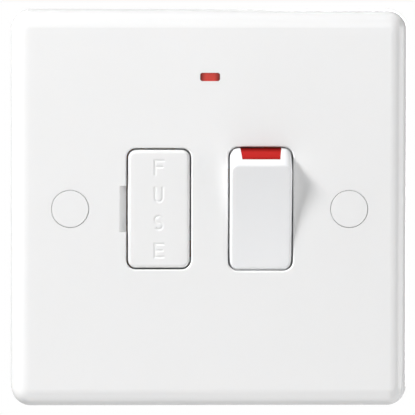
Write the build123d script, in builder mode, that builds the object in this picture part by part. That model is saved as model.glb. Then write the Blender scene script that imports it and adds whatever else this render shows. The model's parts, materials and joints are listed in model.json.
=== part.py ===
from build123d import *
import os
from math import atan2, cos, degrees, hypot, radians, sin, sqrt, tan

# Switched fused connection unit with a neon indicator: a one-gang moulded plate for a wall box. Millimetres.
# The origin is the centre of the wall plane, +X is right, +Z is up, and the front looks along -Y.
# A height is a distance from the wall plane towards the room, so a point at height h has y = -h.

os.makedirs("parts", exist_ok=True)

# Front plate
PLATE_SIDE = 86.0
PLATE_PROJECTION = 9.0
PLATE_EDGE_RADIUS = 3.8
PLATE_CORNER_LAND = 0.6
PLATE_DRAFT = 1.5
FRONT_WALL = 2.5
RIM_WALL = 2.4
RIB_WIDTH = 1.2
RIB_HEIGHT = 2.0
RIB_OFFSET = 14.0

# The two apertures, fuse carrier on the left and rocker on the right
APERTURE_WIDTH = 14.0
APERTURE_RADIUS = 2.1
APERTURE_PITCH = 22.0
APERTURE_EDGE = 0.4
MOVING_GAP = 0.3
NOTCH_WIDTH = 1.5
NOTCH_HEIGHT = 10.0
NOTCH_DEPTH = 1.6

# Fixing screws, M3.5 raised countersunk, under push-in caps
FIXING_PITCH = 60.3
FIXING_THREAD_RADIUS = 1.75
FIXING_SHANK_RADIUS = 1.55
FIXING_HOLE_RADIUS = 2.0
FIXING_HEAD_RADIUS = 3.3
FIXING_HEAD_RISE = 0.8
FIXING_LENGTH = 25.0
FIXING_BOSS_RADIUS = 5.3
FIXING_BOSS_END = 0.4
FIXING_SEAT = 4.4
CAP_RADIUS = 4.0
CAP_THICKNESS = 1.2
CAP_GAP = 0.1
CAP_LEDGE = 0.5
CAP_SKIRT = 1.4
CAP_SKIRT_WALL = 0.7
DRIVE_SLOT_WIDTH = 1.0
DRIVE_SLOT_DEPTH = 1.0

# Rocker
ROCKER_THROW = 9.0
ROCKER_PIVOT_DEPTH = 8.3
ROCKER_DISH = 0.45
ROCKER_WALL = 1.5
ROCKER_EDGE = 0.7
ROCKER_SKIRT_OVERLAP = 3.0
EAR_RADIUS = 3.0
TRUNNION_RADIUS = 1.5
TRUNNION_LENGTH = 2.4
FLAG_WIDTH = 8.2
FLAG_SPREAD = 5.0
FLAG_DEPTH = 0.8
FLAG_MARGIN = 6.2

# Spring plungers in the rocker and the two rocking contacts they press
POLE_OFFSET = 3.4
PLUNGER_RADIUS = 1.6
PLUNGER_REACH = 7.2
PLUNGER_LENGTH = 7.7
PLUNGER_GAP = 0.1
TUBE_WALL = 0.9
TUBE_REACH = 3.6
SPRING_LENGTH = 6.2
SPRING_TURNS = 4.5
SPRING_WIRE_RADIUS = 0.22
WIRE_SIDES = 6
CONTACT_GAP = 0.05
CONTACT_LENGTH = 16.0
CONTACT_WIDTH = 4.0
CONTACT_THICKNESS = 1.2
CONTACT_SEAT = 0.5
FULCRUM_RADIUS = 1.0
FULCRUM_POST = 2.85
FULCRUM_WEB = 1.2
TIP_RADIUS = 1.5
TIP_OFFSET = 6.3
MOVING_TIP_HEIGHT = 0.8
TIP_GAP = 0.1
TIP_DOME = 0.3

# Copper strip
STRIP_WIDTH = 3.6
STRIP_THICKNESS = 0.8

# Fuse, 25.4 x 6.35 cartridge, with its clips and carrier
FUSE_LENGTH = 25.4
FUSE_CAP_RADIUS = 3.175
FUSE_CAP_LENGTH = 5.8
FUSE_CAP_WALL = 0.175
FUSE_END_WALL = 0.4
FUSE_GAP = 0.4
FUSE_END_GAP = 0.1
CARRIER_PANEL = 2.2
CARRIER_EDGE = 0.8
CRADLE_WALL = 1.3
CRADLE_MOUTH = 4.6
CRADLE_GAP = 0.05
CARRIER_RAIL = 1.0
CARRIER_RAIL_DEPTH = 2.2
LEG_WIDTH = 10.0
LEG_THICKNESS = 1.3
LEG_LENGTH = 13.0
BARB_DEPTH = 1.0
BARB_HEIGHT = 2.0
CLIP_LENGTH = 4.6
CLIP_WALL = 0.5
CLIP_GAP = 0.05
CLIP_DROP = 1.2
CLIP_FLARE = 0.7
CLIP_LIP = 1.2
PEDESTAL_MARGIN = 0.5

# Rear housing
BASE_WIDTH = 49.0
BASE_HEIGHT = 51.0
BASE_WALL = 1.8
BASE_CORNER = 2.5
BASE_EDGE = 1.0
BASE_FLOOR = 2.0
COLLAR_WALL = 1.0
COLLAR_HEIGHT = 3.0
BEARING_WIDTH = 2.4
BEARING_SPAN = 7.0
BEARING_RISE = 1.6
BEARING_GAP = 0.05
KEEPER_GAP = 0.1
KEEPER_SPAN = 2.6
KEEPER_WIDTH = 1.8
GUIDE_WIDTH = 1.2
BARRIER_WIDTH = 0.8
BARRIER_HEIGHT = 5.0
BASE_SCREW_RADIUS = 1.45
BASE_SCREW_HEAD_RADIUS = 2.8
BASE_SCREW_HEAD_HEIGHT = 2.0
BASE_SCREW_LENGTH = 14.0
BASE_SCREW_GAP = 0.1
BASE_COLUMN_RADIUS = 3.6
BASE_COLUMN_SEAT = 2.0
PLATE_BOSS_LENGTH = 5.0
UPPER_COLUMN_X = 2.0
LOWER_COLUMN_X = -6.0

# Pillar terminals
TERMINAL_WIDTH = 7.6
TERMINAL_LENGTH = 7.5
TERMINAL_DEPTH = 9.0
TERMINAL_EDGE = 0.4
TERMINAL_OFFSET = 4.9
WIRE_RADIUS = 2.4
WIRE_RISE = 5.8
WIRE_ENTRY_RADIUS = 2.8
WIRE_ENTRY_EDGE = 0.5
TERMINAL_SCREW_RADIUS = 2.0
TERMINAL_SCREW_SHIFT = 0.8
TERMINAL_SCREW_HEAD_RADIUS = 3.0
TERMINAL_SCREW_HEAD_HEIGHT = 2.0
TERMINAL_SCREW_LENGTH = 6.0
TERMINAL_SCREW_GAP = 0.05
TERMINAL_SLOT = 2.2
CELL_WALL = 0.9
CELL_GAP = 0.1
CELL_RISE = 0.9

# Neon indicator
NEON_STANDOFF = 3.0
NEON_WIDTH = 4.3
NEON_HEIGHT = 1.8
NEON_RADIUS = 0.5
NEON_RECESS = 0.15
LENS_FLANGE = 1.0
LENS_MARGIN = 1.0
LAMP_RADIUS = 2.0
LAMP_LENGTH = 9.2
LAMP_DROP = 0.4
LAMP_GAP = 0.1
CRADLE_RIB_X = 3.9
CRADLE_RIB_WIDTH = 1.2
CRADLE_RIB_GAP = 0.1
CRADLE_RIB_LIP = 0.5
CRADLE_RIB_MOUTH = 3.6
RESISTOR_RADIUS = 1.15
RESISTOR_LENGTH = 6.3
RESISTOR_START = 6.0
LEAD_RADIUS = 0.5
LEAD_BEND = 2.0
LEAD_NOTCH = 2.0

# Heights of the main levels
FACE = PLATE_PROJECTION
BACK = FACE - FRONT_WALL
PIVOT = FACE - ROCKER_PIVOT_DEPTH
FULCRUM = PIVOT - PLUNGER_REACH - CONTACT_GAP - CONTACT_THICKNESS - CONTACT_SEAT
STRIP_TOP = FULCRUM - FULCRUM_POST
FLOOR = STRIP_TOP - STRIP_THICKNESS
BASE_BACK = FLOOR - BASE_FLOOR
FUSE = FACE - CARRIER_PANEL - FUSE_GAP - FUSE_CAP_RADIUS
CLIP_FLOOR = FUSE - FUSE_CAP_RADIUS - CLIP_DROP
PEDESTAL_TOP = CLIP_FLOOR - CLIP_WALL
LAMP = BACK - LENS_FLANGE - LAMP_DROP - LAMP_RADIUS
WIRE = FLOOR + WIRE_RISE
TERMINAL_FRONT = FLOOR + TERMINAL_DEPTH
KEEPER_END = PIVOT + TRUNNION_RADIUS + KEEPER_GAP

# Places across the plate
CARRIER_X = -APERTURE_PITCH / 2
ROCKER_X = APERTURE_PITCH / 2
LIVE_X = ROCKER_X - POLE_OFFSET
NEUTRAL_X = ROCKER_X + POLE_OFFSET
EARTH_X = -(BASE_WIDTH / 2 - BASE_WALL - CELL_WALL - CELL_GAP - TERMINAL_WIDTH / 2)
LOAD_LIVE_X = EARTH_X + TERMINAL_WIDTH + 2 * CELL_GAP + CELL_WALL
SUPPLY_LIVE_X = ROCKER_X - TERMINAL_OFFSET
NEUTRAL_TERMINAL_X = ROCKER_X + TERMINAL_OFFSET
TERMINAL_UP = BASE_HEIGHT / 2 - BASE_WALL - TERMINAL_LENGTH / 2
TERMINAL_INNER = TERMINAL_UP - TERMINAL_LENGTH / 2
STRIP_END = TERMINAL_INNER + TERMINAL_SLOT
SCREW_UP = TERMINAL_UP + TERMINAL_SCREW_SHIFT
NEON_UP = BASE_HEIGHT / 2 + NEON_STANDOFF
UPPER_COLUMN = (UPPER_COLUMN_X, TERMINAL_UP)
LOWER_COLUMN = (LOWER_COLUMN_X, -TERMINAL_UP)

# Each terminal: its place across, its side of the plate (1 top, -1 bottom) and the strip that enters it
TERMINALS = {
    "load_live_terminal": (LOAD_LIVE_X, 1, LOAD_LIVE_X),
    "load_neutral_terminal": (NEUTRAL_TERMINAL_X, 1, NEUTRAL_X),
    "load_earth_terminal": (EARTH_X, 1, EARTH_X),
    "supply_live_terminal": (SUPPLY_LIVE_X, -1, LIVE_X),
    "supply_neutral_terminal": (NEUTRAL_TERMINAL_X, -1, NEUTRAL_X),
    "supply_earth_terminal": (EARTH_X, -1, EARTH_X),
}

# The fuse passes endways through the carrier's aperture, and the rocker's aperture is as tall
APERTURE_HEIGHT = FUSE_LENGTH + 2 * (FUSE_END_GAP + MOVING_GAP)

# Rocker outline: the ends are arcs about the pivot that keep the same gap to the aperture through the throw
ROCKER_WIDTH = APERTURE_WIDTH - 2 * MOVING_GAP
ROCKER_CORNER = APERTURE_RADIUS - MOVING_GAP
ROCKER_END_RADIUS = hypot(APERTURE_HEIGHT / 2 - MOVING_GAP, ROCKER_PIVOT_DEPTH)
FLUSH_ANGLE = degrees(atan2(APERTURE_HEIGHT / 2 - MOVING_GAP, ROCKER_PIVOT_DEPTH))
RIDGE_ANGLE = FLUSH_ANGLE - ROCKER_THROW
SKIRT_ANGLE = FLUSH_ANGLE + ROCKER_THROW + ROCKER_SKIRT_OVERLAP
FLAG_ANGLE = RIDGE_ANGLE + FLAG_MARGIN
RELIEF_RADIUS = ROCKER_END_RADIUS + MOVING_GAP
RELIEF_HEIGHT = 2 * sqrt(RELIEF_RADIUS**2 - (BACK - PIVOT) ** 2)
ROCKER_ROOF = ROCKER_END_RADIUS * cos(radians(RIDGE_ANGLE)) - ROCKER_DISH - ROCKER_WALL
TUBE_RADIUS = PLUNGER_RADIUS + PLUNGER_GAP + TUBE_WALL
PLUNGER_TOP = PLUNGER_LENGTH - PLUNGER_REACH
CONTACT_THROW = ROCKER_THROW
CARRIER_WIDTH = APERTURE_WIDTH - 2 * MOVING_GAP
CARRIER_HEIGHT = APERTURE_HEIGHT - 2 * MOVING_GAP


def level(height):
    """A plane parallel to the wall: local x is right, local y is up, and it faces the room."""
    return Plane.XZ.offset(height)


def upright(x, height=0.0, tilt=0.0):
    """A plane across x: local x is up, local y is towards the room; tilt brings the upper end out."""
    lean = radians(tilt)
    return Plane(origin=(x, -height, 0), x_dir=(0, -sin(lean), cos(lean)), z_dir=(1, 0, 0))


def lying(up, x=0.0):
    """A plane across z: local x is right, local y is towards the room, and it faces down."""
    return Plane(origin=(x, 0, up), x_dir=(1, 0, 0), z_dir=(0, 0, -1))


def on_arc(radius, angle):
    """A point in the rocker's own plane, by its angle from the rocker's outward axis."""
    return (radius * sin(radians(angle)), radius * cos(radians(angle)))


def arc_band(plane, inner, outer, start, end):
    """A sector of a ring about the rocker's pivot."""
    middle = (start + end) / 2
    with BuildSketch(plane) as band:
        with BuildLine():
            ThreePointArc(on_arc(outer, start), on_arc(outer, middle), on_arc(outer, end))
            Line(on_arc(outer, end), on_arc(inner, end))
            ThreePointArc(on_arc(inner, end), on_arc(inner, middle), on_arc(inner, start))
            Line(on_arc(inner, start), on_arc(outer, start))
        make_face()
    return band.sketch


def turned(plane, *points):
    """A half section drawn outwards from an axis, ready to be revolved about the plane's local y."""
    with BuildSketch(plane) as section:
        with BuildLine():
            Polyline(*points, close=True)
        make_face()
    return section.sketch


def keep(piece, name):
    """Label a finished piece and write it."""
    piece.label = name
    export_step(piece, f"parts/{name}.step")


ROCKER_FRAME = upright(ROCKER_X, PIVOT, ROCKER_THROW)


def rocker_axis(out, pole=0.0):
    """A plane square to the rocker's outward axis, facing in, at a distance out from the pivot."""
    return Plane(
        origin=ROCKER_FRAME.from_local_coords((0, out, pole)),
        x_dir=(1, 0, 0),
        z_dir=ROCKER_FRAME.y_dir * -1,
    )


def flag_block(outer, end):
    """A curved tile about the pivot that widens from its lower edge towards the rocker's skirt."""
    lean = radians(FLAG_ANGLE)
    slope = tan(radians(FLAG_SPREAD))
    inner = ROCKER_END_RADIUS - FLAG_DEPTH
    span = outer * radians(end - FLAG_ANGLE)
    foot = Plane(
        origin=ROCKER_FRAME.from_local_coords((*on_arc(ROCKER_END_RADIUS, FLAG_ANGLE), 0)),
        x_dir=(1, 0, 0),
        z_dir=ROCKER_FRAME.x_dir * sin(lean) + ROCKER_FRAME.y_dir * cos(lean),
    )
    band = arc_band(ROCKER_FRAME.offset(-ROCKER_WIDTH / 2), inner, outer, FLAG_ANGLE, end)
    with BuildPart() as block:
        extrude(band, amount=ROCKER_WIDTH)
        with BuildSketch(foot):
            with BuildLine():
                Polyline(
                    (0, -FLAG_WIDTH / 2 / slope),
                    (FLAG_WIDTH / 2 + span * slope, span),
                    (-FLAG_WIDTH / 2 - span * slope, span),
                    close=True,
                )
            make_face()
        extrude(amount=span, both=True, mode=Mode.INTERSECT)
    return block.part


# Front plate: rounded tray with two apertures, capped screw wells, the neon window and moulded bosses
TRAY_SIDE = PLATE_SIDE - 2 * RIM_WALL
PLATE_CORNER = PLATE_EDGE_RADIUS + PLATE_CORNER_LAND
HEAD_WELL_RADIUS = CAP_RADIUS + CAP_GAP - CAP_LEDGE
RIB_UPRIGHT = (TRAY_SIDE - BASE_HEIGHT) / 2
RIB_LEVEL = (TRAY_SIDE - BASE_WIDTH) / 2
CRADLE_RIB_END = LAMP - LAMP_RADIUS - CRADLE_RIB_LIP
CRADLE_RIB_SPAN = 2 * (NEON_UP - BASE_HEIGHT / 2 - CRADLE_RIB_GAP)
BEARING_X = ROCKER_WIDTH / 2 + MOVING_GAP + BEARING_WIDTH / 2

with BuildPart() as faceplate:
    with BuildSketch(level(0)):
        RectangleRounded(PLATE_SIDE, PLATE_SIDE, PLATE_CORNER)
    extrude(amount=FACE, taper=PLATE_DRAFT)
    fillet(faceplate.faces().sort_by(Axis.Y)[0].edges(), PLATE_EDGE_RADIUS)
    with BuildSketch(level(0)):
        RectangleRounded(TRAY_SIDE, TRAY_SIDE, PLATE_CORNER - RIM_WALL)
    extrude(amount=BACK, taper=PLATE_DRAFT, mode=Mode.SUBTRACT)

    with BuildSketch(level(FACE)):
        with Locations((ROCKER_X, 0)):
            RectangleRounded(APERTURE_WIDTH, APERTURE_HEIGHT, APERTURE_RADIUS)
    with BuildSketch(level(BACK)):
        with Locations((ROCKER_X, 0)):
            RectangleRounded(APERTURE_WIDTH, RELIEF_HEIGHT, APERTURE_RADIUS)
    loft(mode=Mode.SUBTRACT)
    with BuildSketch(level(BACK)):
        with Locations((CARRIER_X, 0)):
            RectangleRounded(APERTURE_WIDTH, APERTURE_HEIGHT, APERTURE_RADIUS)
    extrude(amount=FRONT_WALL, mode=Mode.SUBTRACT)
    front = faceplate.faces().sort_by(Axis.Y)[0]
    fillet([edge for wire in front.inner_wires() for edge in wire.edges()], APERTURE_EDGE)

    with BuildSketch(lying(0, CARRIER_X - APERTURE_WIDTH / 2 - NOTCH_WIDTH)):
        with BuildLine():
            Polyline((0, FACE), (NOTCH_WIDTH, FACE), (NOTCH_WIDTH, FACE - NOTCH_DEPTH), close=True)
        make_face()
    extrude(amount=NOTCH_HEIGHT / 2, both=True, mode=Mode.SUBTRACT)

    with BuildSketch(level(BACK)):
        with Locations((0, NEON_UP)):
            RectangleRounded(NEON_WIDTH, NEON_HEIGHT, NEON_RADIUS)
    extrude(amount=FRONT_WALL, mode=Mode.SUBTRACT)

    with BuildSketch(level(BACK - RIB_HEIGHT)):
        with GridLocations(2 * RIB_OFFSET, TRAY_SIDE - RIB_UPRIGHT, 2, 2):
            Rectangle(RIB_WIDTH, RIB_UPRIGHT)
        with GridLocations(TRAY_SIDE - RIB_LEVEL, 2 * RIB_OFFSET, 2, 2):
            Rectangle(RIB_LEVEL, RIB_WIDTH)
    extrude(amount=RIB_HEIGHT)
    with BuildSketch(level(FIXING_BOSS_END)):
        with GridLocations(FIXING_PITCH, 1, 2, 1):
            Circle(FIXING_BOSS_RADIUS)
    extrude(amount=BACK - FIXING_BOSS_END)
    for screw_x in (-FIXING_PITCH / 2, FIXING_PITCH / 2):
        well = turned(
            lying(0, screw_x),
            (0, FACE),
            (CAP_RADIUS + CAP_GAP, FACE),
            (CAP_RADIUS + CAP_GAP, FACE - CAP_THICKNESS),
            (HEAD_WELL_RADIUS, FACE - CAP_THICKNESS),
            (HEAD_WELL_RADIUS, FIXING_SEAT),
            (FIXING_HOLE_RADIUS, FIXING_SEAT - HEAD_WELL_RADIUS + FIXING_HOLE_RADIUS),
            (FIXING_HOLE_RADIUS, 0),
            (0, 0),
        )
        revolve(well, axis=Axis((screw_x, 0, 0), (0, 1, 0)), mode=Mode.SUBTRACT)

    with BuildSketch(level(BACK - PLATE_BOSS_LENGTH)):
        with Locations(UPPER_COLUMN, LOWER_COLUMN):
            Circle(BASE_COLUMN_RADIUS)
            Circle(BASE_SCREW_RADIUS + BASE_SCREW_GAP, mode=Mode.SUBTRACT)
    extrude(amount=PLATE_BOSS_LENGTH)
    with BuildSketch(level(KEEPER_END)):
        with Locations((ROCKER_X, 0)):
            with GridLocations(2 * BEARING_X, 1, 2, 1):
                Rectangle(KEEPER_WIDTH, KEEPER_SPAN)
    extrude(amount=BACK - KEEPER_END)
    for rib_x in (-CRADLE_RIB_X, CRADLE_RIB_X):
        with BuildSketch(upright(rib_x - CRADLE_RIB_WIDTH / 2)):
            with Locations((NEON_UP, BACK)):
                Rectangle(CRADLE_RIB_SPAN, BACK - CRADLE_RIB_END, align=(Align.CENTER, Align.MAX))
            with Locations((NEON_UP, LAMP)):
                Circle(LAMP_RADIUS + LAMP_GAP, mode=Mode.SUBTRACT)
                Rectangle(
                    CRADLE_RIB_MOUTH,
                    LAMP - CRADLE_RIB_END,
                    align=(Align.CENTER, Align.MAX),
                    mode=Mode.SUBTRACT,
                )
        extrude(amount=CRADLE_RIB_WIDTH)
keep(faceplate.part, "faceplate")

# Screw caps: a flat disc on a short skirt that plugs the screw well
for cap_name, cap_x in (("screw_cap_left", -FIXING_PITCH / 2), ("screw_cap_right", FIXING_PITCH / 2)):
    with BuildPart() as screw_cap:
        with BuildSketch(level(FACE)):
            with Locations((cap_x, 0)):
                Circle(CAP_RADIUS)
        extrude(amount=-CAP_THICKNESS)
        with BuildSketch(level(FACE - CAP_THICKNESS)):
            with Locations((cap_x, 0)):
                Circle(HEAD_WELL_RADIUS - CAP_GAP)
                Circle(HEAD_WELL_RADIUS - CAP_GAP - CAP_SKIRT_WALL, mode=Mode.SUBTRACT)
        extrude(amount=-CAP_SKIRT)
        chamfer(screw_cap.faces().sort_by(Axis.Y)[0].edges(), CAP_GAP)
    keep(screw_cap.part, cap_name)

# Fixing screws: raised countersunk head, waisted shank in the plate, thread beyond the wall plane
HEAD_EDGE = FIXING_SEAT - HEAD_WELL_RADIUS + FIXING_HEAD_RADIUS
HEAD_RISE_RADIUS = (FIXING_HEAD_RADIUS**2 + FIXING_HEAD_RISE**2) / (2 * FIXING_HEAD_RISE)

with BuildPart() as fixing_screws:
    for screw_x in (-FIXING_PITCH / 2, FIXING_PITCH / 2):
        with BuildSketch(lying(0, screw_x)):
            with BuildLine():
                RadiusArc(
                    (0, HEAD_EDGE + FIXING_HEAD_RISE),
                    (FIXING_HEAD_RADIUS, HEAD_EDGE),
                    HEAD_RISE_RADIUS,
                )
                Polyline(
                    (FIXING_HEAD_RADIUS, HEAD_EDGE),
                    (FIXING_SHANK_RADIUS, HEAD_EDGE - FIXING_HEAD_RADIUS + FIXING_SHANK_RADIUS),
                    (FIXING_SHANK_RADIUS, 0),
                    (FIXING_THREAD_RADIUS, 0),
                    (FIXING_THREAD_RADIUS, HEAD_EDGE - FIXING_LENGTH),
                    (0, HEAD_EDGE - FIXING_LENGTH),
                    (0, HEAD_EDGE + FIXING_HEAD_RISE),
                )
            make_face()
        revolve(axis=Axis((screw_x, 0, 0), (0, 1, 0)))
    with BuildSketch(level(HEAD_EDGE + FIXING_HEAD_RISE)):
        with GridLocations(FIXING_PITCH, 1, 2, 1):
            Rectangle(DRIVE_SLOT_WIDTH, 2 * FIXING_HEAD_RADIUS)
    extrude(amount=-DRIVE_SLOT_DEPTH, mode=Mode.SUBTRACT)
keep(fixing_screws.part, "fixing_screws")

# Rocker: dished face, ends turned about the pivot, hollow below, with trunnions and two plunger tubes
RIDGE = on_arc(ROCKER_END_RADIUS, RIDGE_ANGLE)
SKIRT = on_arc(ROCKER_END_RADIUS, SKIRT_ANGLE)
END_MIDDLE = on_arc(ROCKER_END_RADIUS, (RIDGE_ANGLE + SKIRT_ANGLE) / 2)
ROCKER_INSIDE = ROCKER_WIDTH - 2 * ROCKER_WALL
FLAG_SEAT = flag_block(ROCKER_END_RADIUS + FLAG_DEPTH, SKIRT_ANGLE + ROCKER_SKIRT_OVERLAP)

with BuildPart() as rocker:
    with BuildSketch(ROCKER_FRAME.offset(-ROCKER_WIDTH / 2)):
        with BuildLine():
            ThreePointArc((-RIDGE[0], RIDGE[1]), (0, RIDGE[1] - ROCKER_DISH), RIDGE)
            ThreePointArc(RIDGE, END_MIDDLE, SKIRT)
            Polyline(SKIRT, (EAR_RADIUS, 0), (-EAR_RADIUS, 0), (-SKIRT[0], SKIRT[1]))
            ThreePointArc((-SKIRT[0], SKIRT[1]), (-END_MIDDLE[0], END_MIDDLE[1]), (-RIDGE[0], RIDGE[1]))
        make_face()
        Circle(EAR_RADIUS)
    extrude(amount=ROCKER_WIDTH)
    round_faces = rocker.faces().filter_by(GeomType.CYLINDER)
    ends = [face for face in round_faces if abs(face.radius - ROCKER_END_RADIUS) < MOVING_GAP]
    fillet([edge for face in ends for edge in face.edges().filter_by(GeomType.CIRCLE)], ROCKER_CORNER)
    dish = rocker.faces().filter_by(GeomType.CYLINDER).sort_by(lambda face: face.radius)[-1]
    fillet(dish.edges(), ROCKER_EDGE)

    with BuildSketch(ROCKER_FRAME.offset(-ROCKER_INSIDE / 2)):
        Circle(ROCKER_END_RADIUS - ROCKER_WALL)
        with Locations((0, ROCKER_ROOF)):
            Rectangle(
                2 * ROCKER_END_RADIUS,
                ROCKER_END_RADIUS,
                align=(Align.CENTER, Align.MIN),
                mode=Mode.SUBTRACT,
            )
    extrude(amount=ROCKER_INSIDE, mode=Mode.SUBTRACT)
    for pole in (-POLE_OFFSET, POLE_OFFSET):
        with BuildSketch(rocker_axis(ROCKER_ROOF, pole)):
            Circle(TUBE_RADIUS)
        extrude(amount=ROCKER_ROOF + TUBE_REACH)
    for pole in (-POLE_OFFSET, POLE_OFFSET):
        with BuildSketch(rocker_axis(PLUNGER_TOP + SPRING_LENGTH, pole)):
            Circle(PLUNGER_RADIUS + PLUNGER_GAP)
        extrude(amount=PLUNGER_TOP + SPRING_LENGTH + TUBE_REACH, mode=Mode.SUBTRACT)
    for direction in (-1, 1):
        with BuildSketch(ROCKER_FRAME.offset(direction * ROCKER_WIDTH / 2)):
            Circle(TRUNNION_RADIUS)
        extrude(amount=direction * TRUNNION_LENGTH)
    add(FLAG_SEAT, mode=Mode.SUBTRACT)
keep(rocker.part, "rocker")

# Red flag: a curved tile flush with the upper end, seen only when the switch is on
keep(flag_block(ROCKER_END_RADIUS, SKIRT_ANGLE), "rocker_flag")

# Plungers, their springs, and the rocking contacts with their tips: one set for each pole
SPRING_RADIUS = PLUNGER_RADIUS - SPRING_WIRE_RADIUS
SPRING_RISE = SPRING_LENGTH - 2 * SPRING_WIRE_RADIUS

for pole_name, pole in (("live", -POLE_OFFSET), ("neutral", POLE_OFFSET)):
    pole_x = ROCKER_X + pole
    contact_frame = upright(pole_x, FULCRUM, -CONTACT_THROW)

    with BuildPart() as plunger:
        with BuildSketch(rocker_axis(PLUNGER_TOP, pole)):
            Circle(PLUNGER_RADIUS)
        extrude(amount=PLUNGER_LENGTH)
        nose = plunger.faces().sort_by(Axis(rocker_axis(0).origin, rocker_axis(0).z_dir))[-1]
        fillet(nose.edges(), PLUNGER_RADIUS - CONTACT_GAP)
    keep(plunger.part, f"{pole_name}_plunger")

    with BuildPart() as spring:
        spring_seat = rocker_axis(PLUNGER_TOP + SPRING_LENGTH - SPRING_WIRE_RADIUS, pole)
        with BuildLine():
            coil = Helix(
                SPRING_RISE / SPRING_TURNS,
                SPRING_RISE,
                SPRING_RADIUS,
                center=spring_seat.origin,
                direction=spring_seat.z_dir,
            )
        with BuildSketch(Plane(origin=coil @ 0, z_dir=coil % 0)):
            RegularPolygon(SPRING_WIRE_RADIUS, WIRE_SIDES)
        sweep(is_frenet=True)
    keep(spring.part, f"{pole_name}_spring")

    with BuildPart() as rocking_contact:
        with BuildSketch(contact_frame.offset(-CONTACT_WIDTH / 2)):
            with Locations((0, CONTACT_SEAT)):
                Rectangle(CONTACT_LENGTH, CONTACT_THICKNESS, align=(Align.CENTER, Align.MIN))
            Circle(FULCRUM_RADIUS + CONTACT_GAP, mode=Mode.SUBTRACT)
        extrude(amount=CONTACT_WIDTH)
    keep(rocking_contact.part, f"{pole_name}_rocking_contact")

    with BuildPart() as moving_tip:
        tip_foot = contact_frame.from_local_coords((TIP_OFFSET, CONTACT_SEAT, 0))
        with BuildSketch(Plane(origin=tip_foot, x_dir=(1, 0, 0), z_dir=contact_frame.y_dir * -1)):
            Circle(TIP_RADIUS)
        extrude(amount=MOVING_TIP_HEIGHT)
        tip_face = moving_tip.faces().sort_by(Axis(tip_foot, contact_frame.y_dir * -1))[-1]
        chamfer(tip_face.edges(), TIP_DOME)
    keep(moving_tip.part, f"{pole_name}_moving_tip")

# Fixed contact tips stand under the moving tips with a small gap when the switch is on
CONTACT_ON = upright(0, FULCRUM, -CONTACT_THROW)
TIP_SPOT = CONTACT_ON.from_local_coords((TIP_OFFSET, CONTACT_SEAT - MOVING_TIP_HEIGHT, 0))
TIP_RIM = TIP_OFFSET + TIP_RADIUS - TIP_DOME
TIP_EDGE = CONTACT_ON.from_local_coords((TIP_RIM, CONTACT_SEAT - MOVING_TIP_HEIGHT, 0))
FIXED_TIP_TOP = -TIP_EDGE.Y - TIP_GAP

with BuildPart() as fixed_contact_tips:
    with BuildSketch(level(STRIP_TOP)):
        with Locations((LIVE_X, TIP_SPOT.Z), (NEUTRAL_X, TIP_SPOT.Z)):
            Circle(TIP_RADIUS)
    extrude(amount=FIXED_TIP_TOP - STRIP_TOP)
    chamfer(fixed_contact_tips.faces().group_by(Axis.Y)[0].edges(), TIP_DOME)
keep(fixed_contact_tips.part, "fixed_contact_tips")

# Supply strips: each runs from its terminal along the floor to a fulcrum post under its rocking contact
for pole_name, pole_x in (("live", LIVE_X), ("neutral", NEUTRAL_X)):
    with BuildPart() as supply_strip:
        with BuildSketch(upright(pole_x - STRIP_WIDTH / 2)):
            with Locations((-STRIP_END, FLOOR)):
                Rectangle(STRIP_END + FULCRUM_RADIUS, STRIP_THICKNESS, align=(Align.MIN, Align.MIN))
            with Locations((0, STRIP_TOP)):
                Rectangle(FULCRUM_WEB, FULCRUM_POST, align=(Align.CENTER, Align.MIN))
            with Locations((0, FULCRUM)):
                Circle(FULCRUM_RADIUS)
        extrude(amount=STRIP_WIDTH)
    keep(supply_strip.part, f"{pole_name}_supply_strip")

# Load strips: neutral goes straight up to its terminal, live turns across to the lower fuse clip
FIXED_FOOT = TIP_SPOT.Z - TIP_RADIUS - CONTACT_GAP
FIXED_HEAD = TIP_SPOT.Z + TIP_RADIUS + CONTACT_GAP
CLIP_NEAR = FUSE_LENGTH / 2 - CLIP_LENGTH
CLIP_FAR = FUSE_LENGTH / 2
PEDESTAL_HALF = FUSE_CAP_RADIUS + CLIP_GAP + CLIP_WALL + PEDESTAL_MARGIN
PEDESTAL_NEAR = CLIP_NEAR - PEDESTAL_MARGIN
PEDESTAL_FAR = CLIP_FAR
LINK_END = CARRIER_X + PEDESTAL_HALF + CLIP_WALL
LINK_X = (LINK_END + LIVE_X) / 2 - STRIP_WIDTH / 2

with BuildPart() as neutral_load_strip:
    with BuildSketch(level(FLOOR)):
        with Locations((NEUTRAL_X, FIXED_FOOT)):
            Rectangle(STRIP_WIDTH, STRIP_END - FIXED_FOOT, align=(Align.CENTER, Align.MIN))
    extrude(amount=STRIP_THICKNESS)
keep(neutral_load_strip.part, "neutral_load_strip")

with BuildPart() as live_load_strip:
    with BuildSketch(level(FLOOR)):
        with BuildLine():
            Polyline(
                (LIVE_X + STRIP_WIDTH / 2, FIXED_FOOT),
                (LIVE_X + STRIP_WIDTH / 2, FIXED_HEAD),
                (LINK_X - STRIP_WIDTH / 2, FIXED_HEAD),
                (LINK_X - STRIP_WIDTH / 2, -CLIP_NEAR),
                (LINK_END, -CLIP_NEAR),
                (LINK_END, -CLIP_NEAR - STRIP_WIDTH),
                (LINK_X + STRIP_WIDTH / 2, -CLIP_NEAR - STRIP_WIDTH),
                (LINK_X + STRIP_WIDTH / 2, FIXED_FOOT),
                close=True,
            )
        make_face()
    extrude(amount=STRIP_THICKNESS)
keep(live_load_strip.part, "live_load_strip")

# Earth strip joins the two earth terminals down the left side
with BuildPart() as earth_strip:
    with BuildSketch(level(FLOOR)):
        with Locations((EARTH_X, 0)):
            Rectangle(STRIP_WIDTH, 2 * STRIP_END)
    extrude(amount=STRIP_THICKNESS)
keep(earth_strip.part, "earth_strip")


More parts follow.
